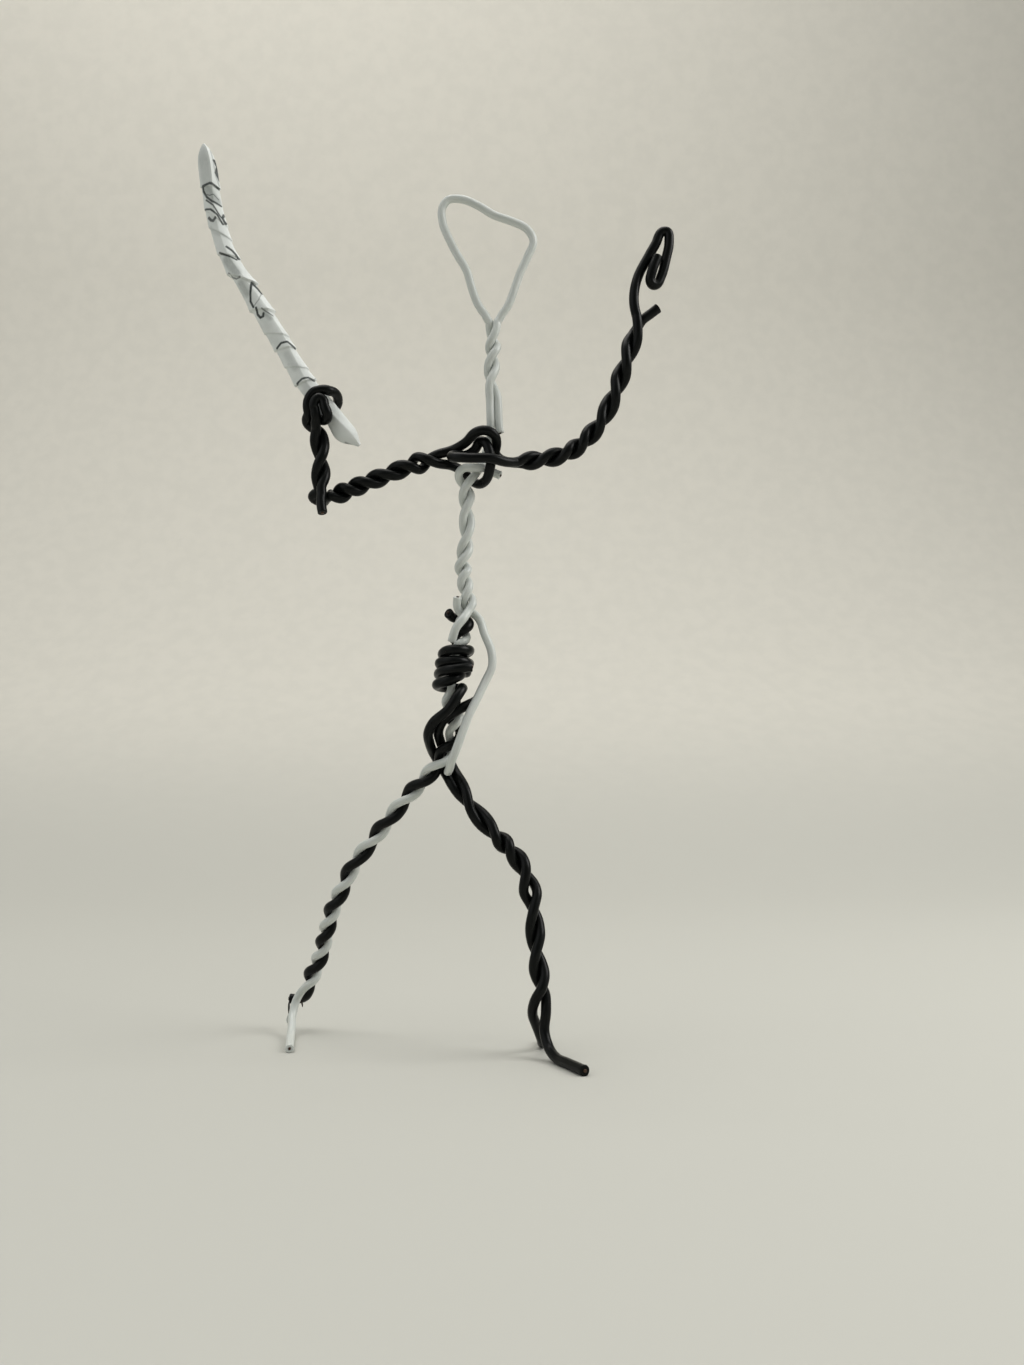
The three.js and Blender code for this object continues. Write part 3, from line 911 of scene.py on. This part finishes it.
@dataclass(frozen=True)
class Shaving:
    """A thin sliver that the cutter left hanging at an end.

    Attributes:
        name: the piece's name.
        points: its route, in millimetres.
        thickness: its widest diameter, from which it thins to both ends.
    """

    name: str
    points: tuple[tuple[float, float, float], ...]
    thickness: float

    def build(self, finish: Insulation | CutCopper, slot: Slot) -> bpy.types.Object:
        """Makes, dresses and places the sliver.

        A point is the route's point plus the radius times a unit vector at the angle round it.
        The radius is half the thickness, times 0.35 plus 0.65 of a half sine along the route.

        Args:
            finish: its finish.
            slot: the record's material slot; not used.

        Returns:
            The piece.
        """
        step, sides = 0.12, 12
        line = hermite(np.array(self.points), step)
        _, side, other = carried_frames(line)
        angles = np.linspace(0, 2 * math.pi, sides, endpoint=False)[None, :]
        share = 0.35 + 0.65 * np.sin(np.linspace(0, math.pi, len(line)))[:, None]
        radius = (share * self.thickness / 2)[..., None]
        grid = line[:, None] + radius * spokes(angles, side[:, None], other[:, None])
        wrap = np.broadcast_to(line[:, None], grid.shape)
        return placed(grid_mesh(self.name, grid * MM, {"wrap": wrap}), finish.material())


@dataclass
class WireGauge:
    """The two kinds of wire that the figure is twisted from, in millimetres."""

    white_diameter: float = 1.7
    black_diameter: float = 2.0
    white_core: float = 0.52
    black_core: float = 0.66

    def white(self, node: str, seed: int, cuts: tuple[Cut, Cut]) -> Wire:
        """A white wire in place of a node."""
        return Wire(
            node, self.white_diameter, self.white_core, WHITE_PVC, Slot.WHITE, seed, cuts
        )

    def black(self, node: str, seed: int, cuts: tuple[Cut, Cut]) -> Wire:
        """A black wire in place of a node."""
        return Wire(
            node, self.black_diameter, self.black_core, BLACK_PVC, Slot.BLACK, seed, cuts
        )


@dataclass
class Bundle:
    """The parts of the figure that are made of wire, as one wire or more each.

    Attributes:
        name: what the wires make.
        wires: the wires.
    """

    name: str
    wires: list[Wire]

    def build(self, copper: CutCopper) -> list[bpy.types.Object]:
        """Makes the pieces of all its wires.

        Args:
            copper: the finish of the cores.

        Returns:
            The pieces.
        """
        return [piece for wire in self.wires for piece in wire.build(copper)]


class HeadAndTorso(Bundle):
    """The two white wires: one makes the head loop, the neck and one strand of the torso, and the
    other the second strand and the bow beside the hip."""

    def __init__(self, gauge: WireGauge) -> None:
        """Picks the wires and the cuts of their ends."""
        head = gauge.white("head_wire", 1, (Cut(slant=0.2), Cut(turn=1.5)))
        torso = gauge.white("torso_bow_wire", 2, (Cut(turn=2.0), Cut()))
        super().__init__("head and torso", [head, torso])


class Legs(Bundle):
    """The trunk's four wires, which go on into the legs."""

    def __init__(self, gauge: WireGauge) -> None:
        """Picks the wires and the cuts of their ends."""
        wires = [
            gauge.white("left_leg_white_wire", 3, (Cut(slant=0.12, turn=1.2), Cut(turn=0.7))),
            gauge.black("left_leg_black_wire", 4, (Cut(slant=0.3), Cut(slant=0.3, turn=2.2))),
            gauge.black("right_leg_wire_a", 5, (Cut(slant=0.15, turn=0.4), Cut(core_out=0.02))),
            gauge.black("right_leg_wire_b", 6, (Cut(), Cut(slant=0.25))),
        ]
        super().__init__("legs", wires)

    def build(self, copper: CutCopper) -> list[bpy.types.Object]:
        """Makes the wires' pieces and the three slivers at the left ankle.

        Args:
            copper: the finish of the cores.

        Returns:
            The pieces.
        """
        pieces = super().build(copper)
        pieces.append(ANKLE_BLACK.build(BLACK_PVC, Slot.BLACK))
        pieces.append(ANKLE_WHITE.build(WHITE_PVC, Slot.WHITE))
        pieces.append(ANKLE_COPPER.build(copper, Slot.BLACK))
        return pieces


class Arms(Bundle):
    """The two black wires of the shoulders, arms, hands and the knot that holds them together."""

    def __init__(self, gauge: WireGauge) -> None:
        """Picks the wires and the cuts of their ends."""
        first = gauge.black("arm_wire_a", 7, (Cut(slant=0.1), Cut(slant=0.2, turn=1.0)))
        second = gauge.black("arm_wire_b", 8, (Cut(slant=0.08, turn=0.8), Cut()))
        super().__init__("arms", [first, second])


@dataclass(frozen=True)
class Tension:
    """Draws twisted wires together until they touch, as pliers do.

    Attributes:
        rounds: how often all wires are moved.
        pull_below: the widest gap that is closed, in millimetres.
        press: how far two wires press into each other, as a share of their half widths.
        reach: how far a point may move from its place in the solid.
        open_at: places that stay open, each as x, y, z and a radius.
        own_length: how far apart along one wire its points are before they count as two strands.
        near: how far apart two points may start and still come to touch.
        floor: below this height a point stays where it is.
        floor_fade: over what height above that it comes free.
        evening: how strongly the shifts are evened out in a round, as a share.
    """

    rounds: int = 60
    pull_below: float = 1.1
    press: float = 0.02
    reach: float = 0.8
    open_at: tuple[tuple[float, float, float, float], ...] = (
        (-3.0, -3.0, 118.2, 4.5),
        (18.3, -4.5, 32.0, 2.6),
        (20.0, -6.5, 7.5, 6.5),
        (8.0, -4.0, 118.5, 8.0),
        (-21.0, -5.0, 132.6, 1.6),
        (-24.0, -2.0, 110.5, 3.5),
        (45.5, -6.0, 157.0, 10.5),
        (4.5, -2.0, 84.0, 6.0),
        (3.0, -3.0, 64.0, 9.5),
        (-31.0, 17.0, 7.0, 7.0),
    )
    own_length: float = 5.0
    near: float = 4.2
    floor: float = 1.6
    floor_fade: float = 2.0
    evening: float = 0.12

    def pairs(self, points: Array, wire: Array, run: Array) -> tuple[Array, Array]:
        """The pairs of points that could come to touch.

        Args:
            points: all points of all lines.
            wire: the wire that each belongs to.
            run: its length along that wire.

        Returns:
            The first and the second point's number of each pair.
        """
        gap = np.linalg.norm(points[:, None] - points[None], axis=-1)
        apart = wire[:, None] != wire[None]
        apart |= np.abs(run[:, None] - run[None]) > self.own_length
        return np.nonzero(np.triu(apart & (gap < self.near), 1))

    def draw(self, wires: list[Wire]) -> None:
        """Moves the wires' lines.

        In each round a point is pulled towards the nearest point of another strand, when the gap
        between the two is small, and pushed from every point that is too near. The moves and
        the shifts that they add up to are evened out along each wire, so that it doesn't kink.

        Args:
            wires: the wires, whose lines are replaced.
        """
        points = np.concatenate([w.line for w in wires])
        wire = np.concatenate([np.full(len(w.line), n) for n, w in enumerate(wires)])
        run = np.concatenate([np.arange(len(w.line)) * w.STEP for w in wires])
        radius = np.concatenate([np.full(len(w.line), w.diameter / 2) for w in wires])
        first, second = self.pairs(points, wire, run)
        contact = (radius[first] + radius[second]) * (1 - self.press)
        home = points.copy()
        free = np.clip((home[:, 2] - self.floor) / self.floor_fade, 0, 1)[:, None]
        pulled = np.ones(len(points), bool)
        for x, y, z, size in self.open_at:
            pulled &= np.linalg.norm(home - (x, y, z), axis=1) > size
        tie, push_share, pull_share = 0.02, 0.5, 0.3
        for _ in range(self.rounds):
            apart = points[second] - points[first]
            distance = np.linalg.norm(apart, axis=1)
            gap = distance - contact
            nearest = np.full(len(points), np.inf)
            np.minimum.at(nearest, first, gap)
            np.minimum.at(nearest, second, gap)
            closest = (gap <= nearest[first] + tie) | (gap <= nearest[second] + tie)
            drawn = closest & (gap > 0) & (gap < self.pull_below)
            drawn &= pulled[first] & pulled[second]
            step = np.where(gap < 0, gap * push_share, np.where(drawn, gap * pull_share, 0.0))
            push = apart / distance[:, None] * (step / 2)[:, None]
            move, count = np.zeros_like(points), np.zeros(len(points))
            active = step != 0
            np.add.at(move, first[active], push[active])
            np.add.at(move, second[active], -push[active])
            np.add.at(count, first[active], 1)
            np.add.at(count, second[active], 1)
            move = move / np.maximum(count, 1)[:, None] * np.minimum(count, 2)[:, None]
            for n, w in enumerate(wires):
                part = wire == n
                move[part] = softened(move[part], 0.6, w.STEP)
                shift = points[part] - home[part]
                move[part] += self.evening * (softened(shift, 0.8, w.STEP) - shift)
            points = points + move * free
            shift = points - home
            length = np.linalg.norm(shift, axis=1, keepdims=True)
            points = home + shift * np.minimum(1, self.reach / np.maximum(length, 0.001))
        for n, w in enumerate(wires):
            w.line = points[wire == n]


# The sword


@dataclass(frozen=True)
class Stroke:
    """One pen or pencil stroke on the front of the sword, or a patch of painted shade drawn like
    one.

    Attributes:
        points: its corners as (x, z), in millimetres.
        width: its width.
        strength: how dark it is, from 0 to 1.
        rim: over what width it fades out, in millimetres.
    """

    points: tuple[tuple[float, float], ...]
    width: float = 0.32
    strength: float = 1.0
    rim: float = 0.1

    def coverage(self, x: Array, z: Array) -> Array:
        """How much of the stroke covers each point.

        The distance to the nearest piece of the stroke gives 1 inside its width, and falls to 0
        evenly over the rim.

        Args:
            x: the points' places across.
            z: the points' heights.

        Returns:
            The coverage, from 0 to the stroke's strength.
        """
        line = np.array(self.points)
        a, b = line[:-1], line[1:]
        along = b - a
        dx, dz = x[..., None] - a[:, 0], z[..., None] - a[:, 1]
        share = np.clip(
            (dx * along[:, 0] + dz * along[:, 1]) / (along**2).sum(1), 0, 1
        )
        gap = np.hypot(dx - share * along[:, 0], dz - share * along[:, 1]).min(-1)
        return self.strength * np.clip((self.width / 2 - gap) / self.rim + 0.5, 0, 1)


@dataclass(frozen=True)
class Seam:
    """The lower edge of one wrap of paper, where the roll steps in to the wrap below.

    Attributes:
        left: where it leaves the front on the left, as (x, z), in millimetres.
        right: where it leaves the front on the right.
        height: the step.
    """

    left: tuple[float, float]
    right: tuple[float, float]
    height: float


@dataclass
class PaperSword:
    """A strip of paper wound slantwise into a long roll, pressed a little flat, and drawn on.

    Attributes:
        node: the solid that it replaces.
        seams: the edges of the wraps, from the tip down.
        flare: over what length a wrap widens towards its edge, in millimetres.
        ledge: over what length it steps in at the edge.
        strokes: the pen's strokes, among them one painted shadow.
        shading: the pencil's strokes, some of them painted shade on facets.
    """

    node: str = "sword"
    seams: tuple[Seam, ...] = ()
    flare: float = 2.6
    ledge: float = 0.13
    SIDES: ClassVar[int] = 112
    STEP: ClassVar[float] = 0.11
    strokes: tuple[Stroke, ...] = ()
    shading: tuple[Stroke, ...] = ()

    def rows(self) -> Array:
        """The solid's rings as rows: middle, half width, half depth and width direction.

        Returns:
            One row for each step along the roll.
        """
        solid = Solid(self.node)
        counts = np.bincount(solid.edges().ravel(), minlength=len(solid.corners))
        poles = np.argsort(counts)[-2:]
        pole = max(poles.tolist(), key=lambda corner: solid.corners[corner, 2])
        rings = [solid.corners[ring] for ring in solid.peeled(np.array([pole]))[1:-1]]
        data = []
        for ring in rings:
            middle = ring.mean(0)
            _, _, axes = np.linalg.svd(ring - middle)
            wide, deep = axes[0], axes[1]
            wide = wide if wide[0] > 0 else -wide
            half = np.abs((ring - middle) @ wide).max()
            thick = np.abs((ring - middle) @ deep).max()
            data.append(np.concatenate([middle, [half, thick], wide]))
        return hermite(np.array(data), self.STEP)

    def wraps(self, middle: Array, along: Array, angles: Array) -> tuple[Array, Array]:
        """How much the wraps thicken the roll, and where their edges are.

        A seam's place along the roll goes from its left to its right with the cosine of the
        angle. Above it the wrap swells by the seam's height times a fading exponential of the
        distance, and just below it the swelling is gone.

        Args:
            middle: the middle line.
            along: the length along it, as a column.
            angles: the angles round it, as a row.

        Returns:
            The swelling in millimetres, and painted shade that is 1 at the edges and deeper where
            the step is higher.
        """
        swell = np.zeros((len(along), angles.shape[1]))
        edge_shade = swell.copy()
        for seam in self.seams:
            ends = [
                float(along[np.hypot(middle[:, 0] - x, middle[:, 2] - z).argmin(), 0])
                for x, z in (seam.left, seam.right)
            ]
            place = (ends[0] + ends[1]) / 2 + (ends[1] - ends[0]) / 2 * np.cos(angles)
            above = place - along
            fading = np.exp(-np.maximum(above, 0) / self.flare)
            swell += seam.height * np.clip(above / self.ledge, 0, 1) * fading
            # Painted shade at each wrap's lower edge, darker the higher its step.
            edge_shade = np.maximum(edge_shade, np.exp(-((above / 0.2) ** 2)) * min(1.0, seam.height / 0.3))
        return swell, edge_shade

    def build(self, paper: DrawnPaper) -> list[bpy.types.Object]:
        """Makes, dresses and places the sword.

        A point is the middle line's point, plus the half width times the cosine and the half
        depth times the sine of its angle, in the section's own directions. On the front the sine
        is partly replaced by a roof of two flat slopes, whose ridge wanders slowly from side to
        side, and most so at the tip. Both are scaled by 1 plus the swelling of the wraps and
        shallow creases. The lower end is a nib: its radius falls to two thirds along a sine, and its
        outer side bulges by a bell-shaped hump just above.

        Args:
            paper: its finish.

        Returns:
            The piece, in a list.
        """
        rows = self.rows()
        middle, half, thick, wide = rows[:, :3], rows[:, 3:4], rows[:, 4:5], unit(rows[:, 5:8])
        tangent = unit(np.gradient(middle, axis=0))
        wide = unit(wide - tangent * (wide * tangent).sum(1, keepdims=True))
        front = np.cross(tangent, wide)
        front = np.where(front[:, 1:2] < 0, front, -front)
        angles = np.linspace(0, 2 * math.pi, self.SIDES, endpoint=False)[None, :]
        along = (np.arange(len(rows)) * self.STEP)[:, None]
        total = float(along[-1, 0])
        # The second result is painted shade along the edges of the wraps.
        swelling, seam_shade = self.wraps(middle, along, angles)
        slant, depth = 1.5, 0.018
        slanted = along - slant * np.cos(angles)
        crease = ripple(slanted, 2 * angles, seed=21, waves=10, length=7.0) * depth
        twist, pitch = 0.02, 5.0
        crease = crease + twist * np.cos(3 * angles + along / pitch)
        swell = 1 + swelling / half + crease
        across, rise = np.cos(angles), np.sin(angles)
        tip = np.minimum(1.0, along / 1.2 + 0.25) ** 0.35
        left_to_end = total - along
        end_share, nib = 0.62, 3.0
        taper = np.sin(np.clip(left_to_end / nib, 0, 1) * math.pi / 2)
        tip = tip * (end_share + (1 - end_share) * taper)
        hump, hump_at, hump_width = 0.24, 4.4, 2.5
        bell = np.exp(-(((left_to_end - hump_at) / hump_width) ** 2))
        tip = tip * (1 + hump * (1 - across) * bell)
        ridge = 0.3 + 0.3 * np.cos(along / 6.5)
        roof = np.minimum((1 + across) / (1 + ridge), (1 - across) / (1 - ridge))
        flatness = np.clip(1.3 - along / 20, 0.35, 0.9) * (rise > 0)
        rise = rise * (1 - flatness) + roof * flatness
        round_line = (half * across)[..., None] * wide[:, None]
        round_line = round_line + (thick * rise)[..., None] * front[:, None]
        grid = middle[:, None] + (swell * tip)[..., None] * round_line
        facing = np.sin(angles) > 0.02
        # The first mask is the pen's strokes with one painted shadow; the second is pencil grey with
        # painted shade on facets.
        ink_and_shadow, pencil_and_shade = (
            facing * np.max([s.coverage(grid[..., 0], grid[..., 2]) for s in drawn], axis=0)
            for drawn in (self.strokes, self.shading)
        )
        turned = np.linalg.det(np.stack([wide[0], front[0], tangent[0]])) > 0
        grids = [grid, ink_and_shadow[..., None], pencil_and_shade[..., None], seam_shade[..., None]]
        if not turned:
            grids = [values[:, ::-1] for values in grids]
        piece = grid_mesh(
            f"{self.node}_paper",
            grids[0] * MM,
            {"ink_and_shadow": grids[1], "pencil_and_shade": grids[2], "seam_shade": grids[3]},
        )
        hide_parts(self.node)
        return [placed(piece, paper.material())]


# Camera, floor and lights


@dataclass
class Studio:
    """The camera, a card that curves up from floor to backdrop, and soft lights.

    Attributes:
        camera_at: the camera's place, in millimetres.
        pitch: how far it looks up, in degrees.
        roll: how far it is tipped, in degrees.
        lens: its focal length for a sensor 36 mm high.
    """

    camera_at: tuple[float, float, float] = (15.0, -233.06, 53.68)
    pitch: float = 4.75
    roll: float = -0.334
    lens: float = 30.33

    def camera(self) -> None:
        """Makes the camera and makes it the scene's own."""
        data = bpy.data.cameras.new("camera")
        data.lens = self.lens
        data.sensor_width = 36.0
        data.clip_start, data.clip_end = 0.01, 20.0
        camera = bpy.data.objects.new("camera", data)
        turn = Matrix.Rotation(math.radians(90 + self.pitch), 4, "X")
        tip = Matrix.Rotation(math.radians(self.roll), 4, "Z")
        camera.matrix_world = Matrix.Translation(Vector(self.camera_at) * MM) @ turn @ tip
        bpy.context.scene.collection.objects.link(camera)
        bpy.context.scene.camera = camera

    def card(self, finish: StudioCard) -> None:
        """The floor and backdrop as one curved card.

        Its section is flat, then a quarter circle, then upright, carried straight across.

        Args:
            finish: the card's finish.
        """
        front, bend, back, top, half = -1.6, 0.5, 0.75, 1.8, 2.2
        angles = np.linspace(0, math.pi / 2, 24)
        y = np.concatenate([[front], back - bend + bend * np.sin(angles), [back]])
        z = np.concatenate([[0.0], bend - bend * np.cos(angles), [top]])
        x = np.tile([-half, half], len(y))
        points = np.stack([x, np.repeat(y, 2), np.repeat(z, 2)], -1)
        n = np.arange(len(y) - 1)[:, None] * 2
        faces = (n + np.array([[0, 1, 3, 2]])).tolist()
        mesh = bpy.data.meshes.new("studio_card")
        mesh.from_pydata(points.tolist(), [], faces)
        mesh.shade_smooth()
        card = bpy.data.objects.new("studio_card", mesh)
        mesh.materials.append(finish.material())
        bpy.context.scene.collection.objects.link(card)

    def light(
        self,
        name: str,
        at: Sequence[float],
        size: float,
        power: float,
        tone: Sequence[float],
        aim: Sequence[float] = (0.0, 0.0, 0.09),
    ) -> None:
        """Adds one square soft light.

        Args:
            name: its name.
            at: its place, in metres.
            size: the length of its side.
            power: its power in watts.
            tone: its colour.
            aim: the point that it faces, in metres.
        """
        data = bpy.data.lights.new(name, "AREA")
        data.shape = "SQUARE"
        data.size = size
        data.energy = power
        data.color = tone
        lamp = bpy.data.objects.new(name, data)
        lamp.location = at
        facing = Vector(aim) - Vector(at)
        lamp.rotation_euler = facing.to_track_quat("-Z", "Y").to_euler()
        bpy.context.scene.collection.objects.link(lamp)

    def lights(self) -> None:
        """A broad light from the right, a fill from the left, and one each for figure and wall."""
        self.light("key", (0.5, -0.1, 0.42), 0.35, 2.2, (1.0, 0.985, 0.96))
        self.light("fill", (-0.6, -0.5, 0.4), 0.7, 1.0, (0.97, 0.985, 1.0))
        self.light("wash", (0.0, 0.2, 1.2), 1.2, 1.2, (1.0, 0.98, 0.95))
        self.light("wall", (-0.2, 0.1, 1.2), 0.9, 7.0, (1.0, 0.97, 0.93), (0.0, 0.75, 0.3))

    def sky(self) -> None:
        """An even sky that is dim behind the camera and brightens evenly towards the backdrop."""
        g = Graph(bpy.data.worlds.new("studio_sky"))
        toward = g.parted(g.place("Generated"), "Y")
        dim, full = 0.16, 1.0
        glow = g.node("ShaderNodeMapRange", {}, {0: toward, 1: -0.9, 2: 0.5, 3: dim, 4: full})
        tone = rgb(0.83, 0.84, 0.82)
        light = g.node("ShaderNodeBackground", {}, {0: tone, 1: glow.outputs[0]})
        g.node("ShaderNodeOutputWorld", {}, {0: light.outputs[0]})
        bpy.context.scene.world = g.owner
        bpy.context.scene.view_settings.view_transform = "Standard"


ANKLE_BLACK = Shaving(
    "ankle_black_shaving",
    ((-33.25, 19.3, 6.4), (-33.2, 18.3, 5.7), (-33.08, 17.5, 4.6), (-32.98, 17.2, 3.4)),
    0.42,
)
ANKLE_WHITE = Shaving(
    "ankle_white_shaving",
    (
        (-32.6, 16.3, 4.4),
        (-32.95, 16.2, 3.6),
        (-33.1, 16.1, 2.8),
        (-32.85, 15.9, 2.1),
        (-32.3, 15.4, 2.2),
    ),
    0.42,
)
ANKLE_COPPER = Shaving(
    "ankle_copper_strand", ((-30.75, 18.9, 6.3), (-30.45, 18.6, 5.7), (-30.3, 18.4, 5.0)), 0.36
)


def report(assembly: str, pieces: Iterable[bpy.types.Object]) -> None:
    """Logs what an assembly made.

    Args:
        assembly: its name.
        pieces: its pieces.
    """
    for piece in pieces:
        LOG.info("%s: %s, %d faces", assembly, piece.name, len(piece.data.polygons))


SWORD_SEAMS = (
    Seam((-47.8, 175.0), (-44.5, 174.5), 0.32),
    Seam((-46.8, 170.4), (-42.8, 166.8), 0.22),
    Seam((-45.9, 166.8), (-42.5, 163.7), 0.28),
    Seam((-44.3, 161.1), (-40.8, 159.6), 0.35),
    Seam((-42.3, 157.0), (-37.6, 154.1), 0.75),
    Seam((-37.3, 149.8), (-33.5, 148.8), 0.6),
    Seam((-35.0, 144.6), (-30.7, 143.6), 0.25),
    Seam((-32.5, 141.3), (-28.9, 141.4), 0.4),
    Seam((-30.2, 137.9), (-26.2, 137.2), 0.24),
    Seam((-28.4, 134.0), (-25.1, 134.7), 0.5),
)
SWORD_STROKES = (
    Stroke(((-46.4, 183.0), (-45.6, 180.2), (-45.1, 177.0), (-44.5, 175.1)), 0.22, 0.35),
    Stroke(((-45.4, 180.2), (-44.8, 179.0), (-45.0, 177.6), (-44.2, 176.0)), 0.6, 1.0),
    Stroke(((-47.8, 175.0), (-46.2, 175.2), (-44.5, 174.5)), 0.52),
    Stroke(((-47.8, 175.0), (-47.7, 174.0), (-46.9, 172.6), (-45.7, 171.5), (-44.2, 171.0)), 0.45),
    Stroke(((-46.9, 173.2), (-46.3, 172.8), (-45.4, 172.9), (-44.6, 172.2)), 0.22, 0.7),
    Stroke(((-47.1, 172.1), (-45.5, 170.7), (-44.3, 168.8), (-43.1, 167.5)), 0.32),
    Stroke(((-47.3, 170.3), (-46.1, 170.0), (-44.7, 168.8), (-43.7, 167.1)), 0.4),
    Stroke(((-46.6, 168.5), (-46.1, 167.9), (-45.6, 167.7), (-45.1, 168.2)), 0.55, 0.9),
    Stroke(((-43.6, 169.2), (-43.8, 168.4), (-43.2, 167.3)), 0.45),
    Stroke(((-44.3, 161.1), (-43.3, 160.6), (-42.3, 160.2), (-40.8, 159.6)), 0.35),
    Stroke(((-42.8, 162.2), (-41.7, 161.5), (-41.0, 160.7), (-40.5, 159.9)), 0.45),
    Stroke(((-42.4, 156.8), (-41.6, 156.0), (-40.8, 155.6), (-39.9, 155.8)), 0.27, 0.7),
    Stroke(((-37.7, 154.8), (-37.9, 152.6), (-37.9, 150.9), (-37.3, 149.7)), 0.47),
    Stroke(((-37.7, 154.8), (-36.6, 153.8), (-35.8, 152.9)), 0.47),
    Stroke(((-35.8, 152.9), (-36.1, 151.2), (-37.3, 149.7)), 0.22, 0.5),
    Stroke(((-36.7, 149.5), (-36.5, 148.3), (-35.9, 147.6), (-35.3, 147.8), (-35.2, 148.4)), 0.47),
    Stroke(((-35.5, 149.3), (-34.6, 148.7), (-33.4, 148.0)), 0.27, 0.8),
    Stroke(((-32.5, 141.3), (-31.6, 142.2), (-30.3, 142.5), (-28.9, 141.4)), 0.45),
    Stroke(((-28.4, 134.0), (-27.3, 134.8), (-26.1, 135.1), (-25.1, 134.7)), 0.42),
    # Painted shadow: a short dark stroke in ink where a nick near the nib lies in shade.
    Stroke(((-18.6, 121.8), (-17.3, 121.3)), 0.34, 0.7, 0.3),
)
# Pencil patches, some of them painted shade: the flat panel at the tip and a facet further down are
# shaded in as facets that face away from the light.
SWORD_SHADING = (
    Stroke(((-48.0, 182.3), (-47.3, 179.4), (-46.9, 175.6)), 2.2, 0.35, 0.7),
    Stroke(((-46.9, 174.3), (-46.0, 173.2), (-44.8, 171.8)), 1.5, 0.75, 0.7),
    Stroke(((-46.3, 166.4), (-45.2, 165.4), (-43.7, 164.8)), 0.7, 0.35, 0.7),
    Stroke(((-42.7, 159.4), (-41.6, 157.9), (-40.6, 156.8)), 1.9, 0.6, 0.7),
    Stroke(((-39.9, 154.6), (-38.7, 152.6)), 1.4, 0.55, 0.7),
    Stroke(((-35.0, 148.3), (-33.8, 147.4)), 0.9, 0.6, 0.7),
    Stroke(((-30.4, 139.9), (-28.8, 137.2)), 1.3, 0.3, 0.7),
    Stroke(((-30.0, 138.0), (-28.6, 137.8), (-27.7, 137.3)), 0.4, 0.5, 0.7),
)


def main() -> None:
    """Builds the figure, its camera and its light."""
    logging.basicConfig(level=logging.INFO, format="%(name)s: %(message)s")
    studio = Studio()
    studio.camera()
    studio.card(StudioCard())
    studio.lights()
    studio.sky()
    gauge = WireGauge()
    bundles = [HeadAndTorso(gauge), Legs(gauge), Arms(gauge)]
    Tension().draw([wire for bundle in bundles for wire in bundle.wires])
    for bundle in bundles:
        report(bundle.name, bundle.build(CutCopper()))
    sword = PaperSword(seams=SWORD_SEAMS, strokes=SWORD_STROKES, shading=SWORD_SHADING)
    report("sword", sword.build(DrawnPaper()))


if __name__ == "__main__":
    main()
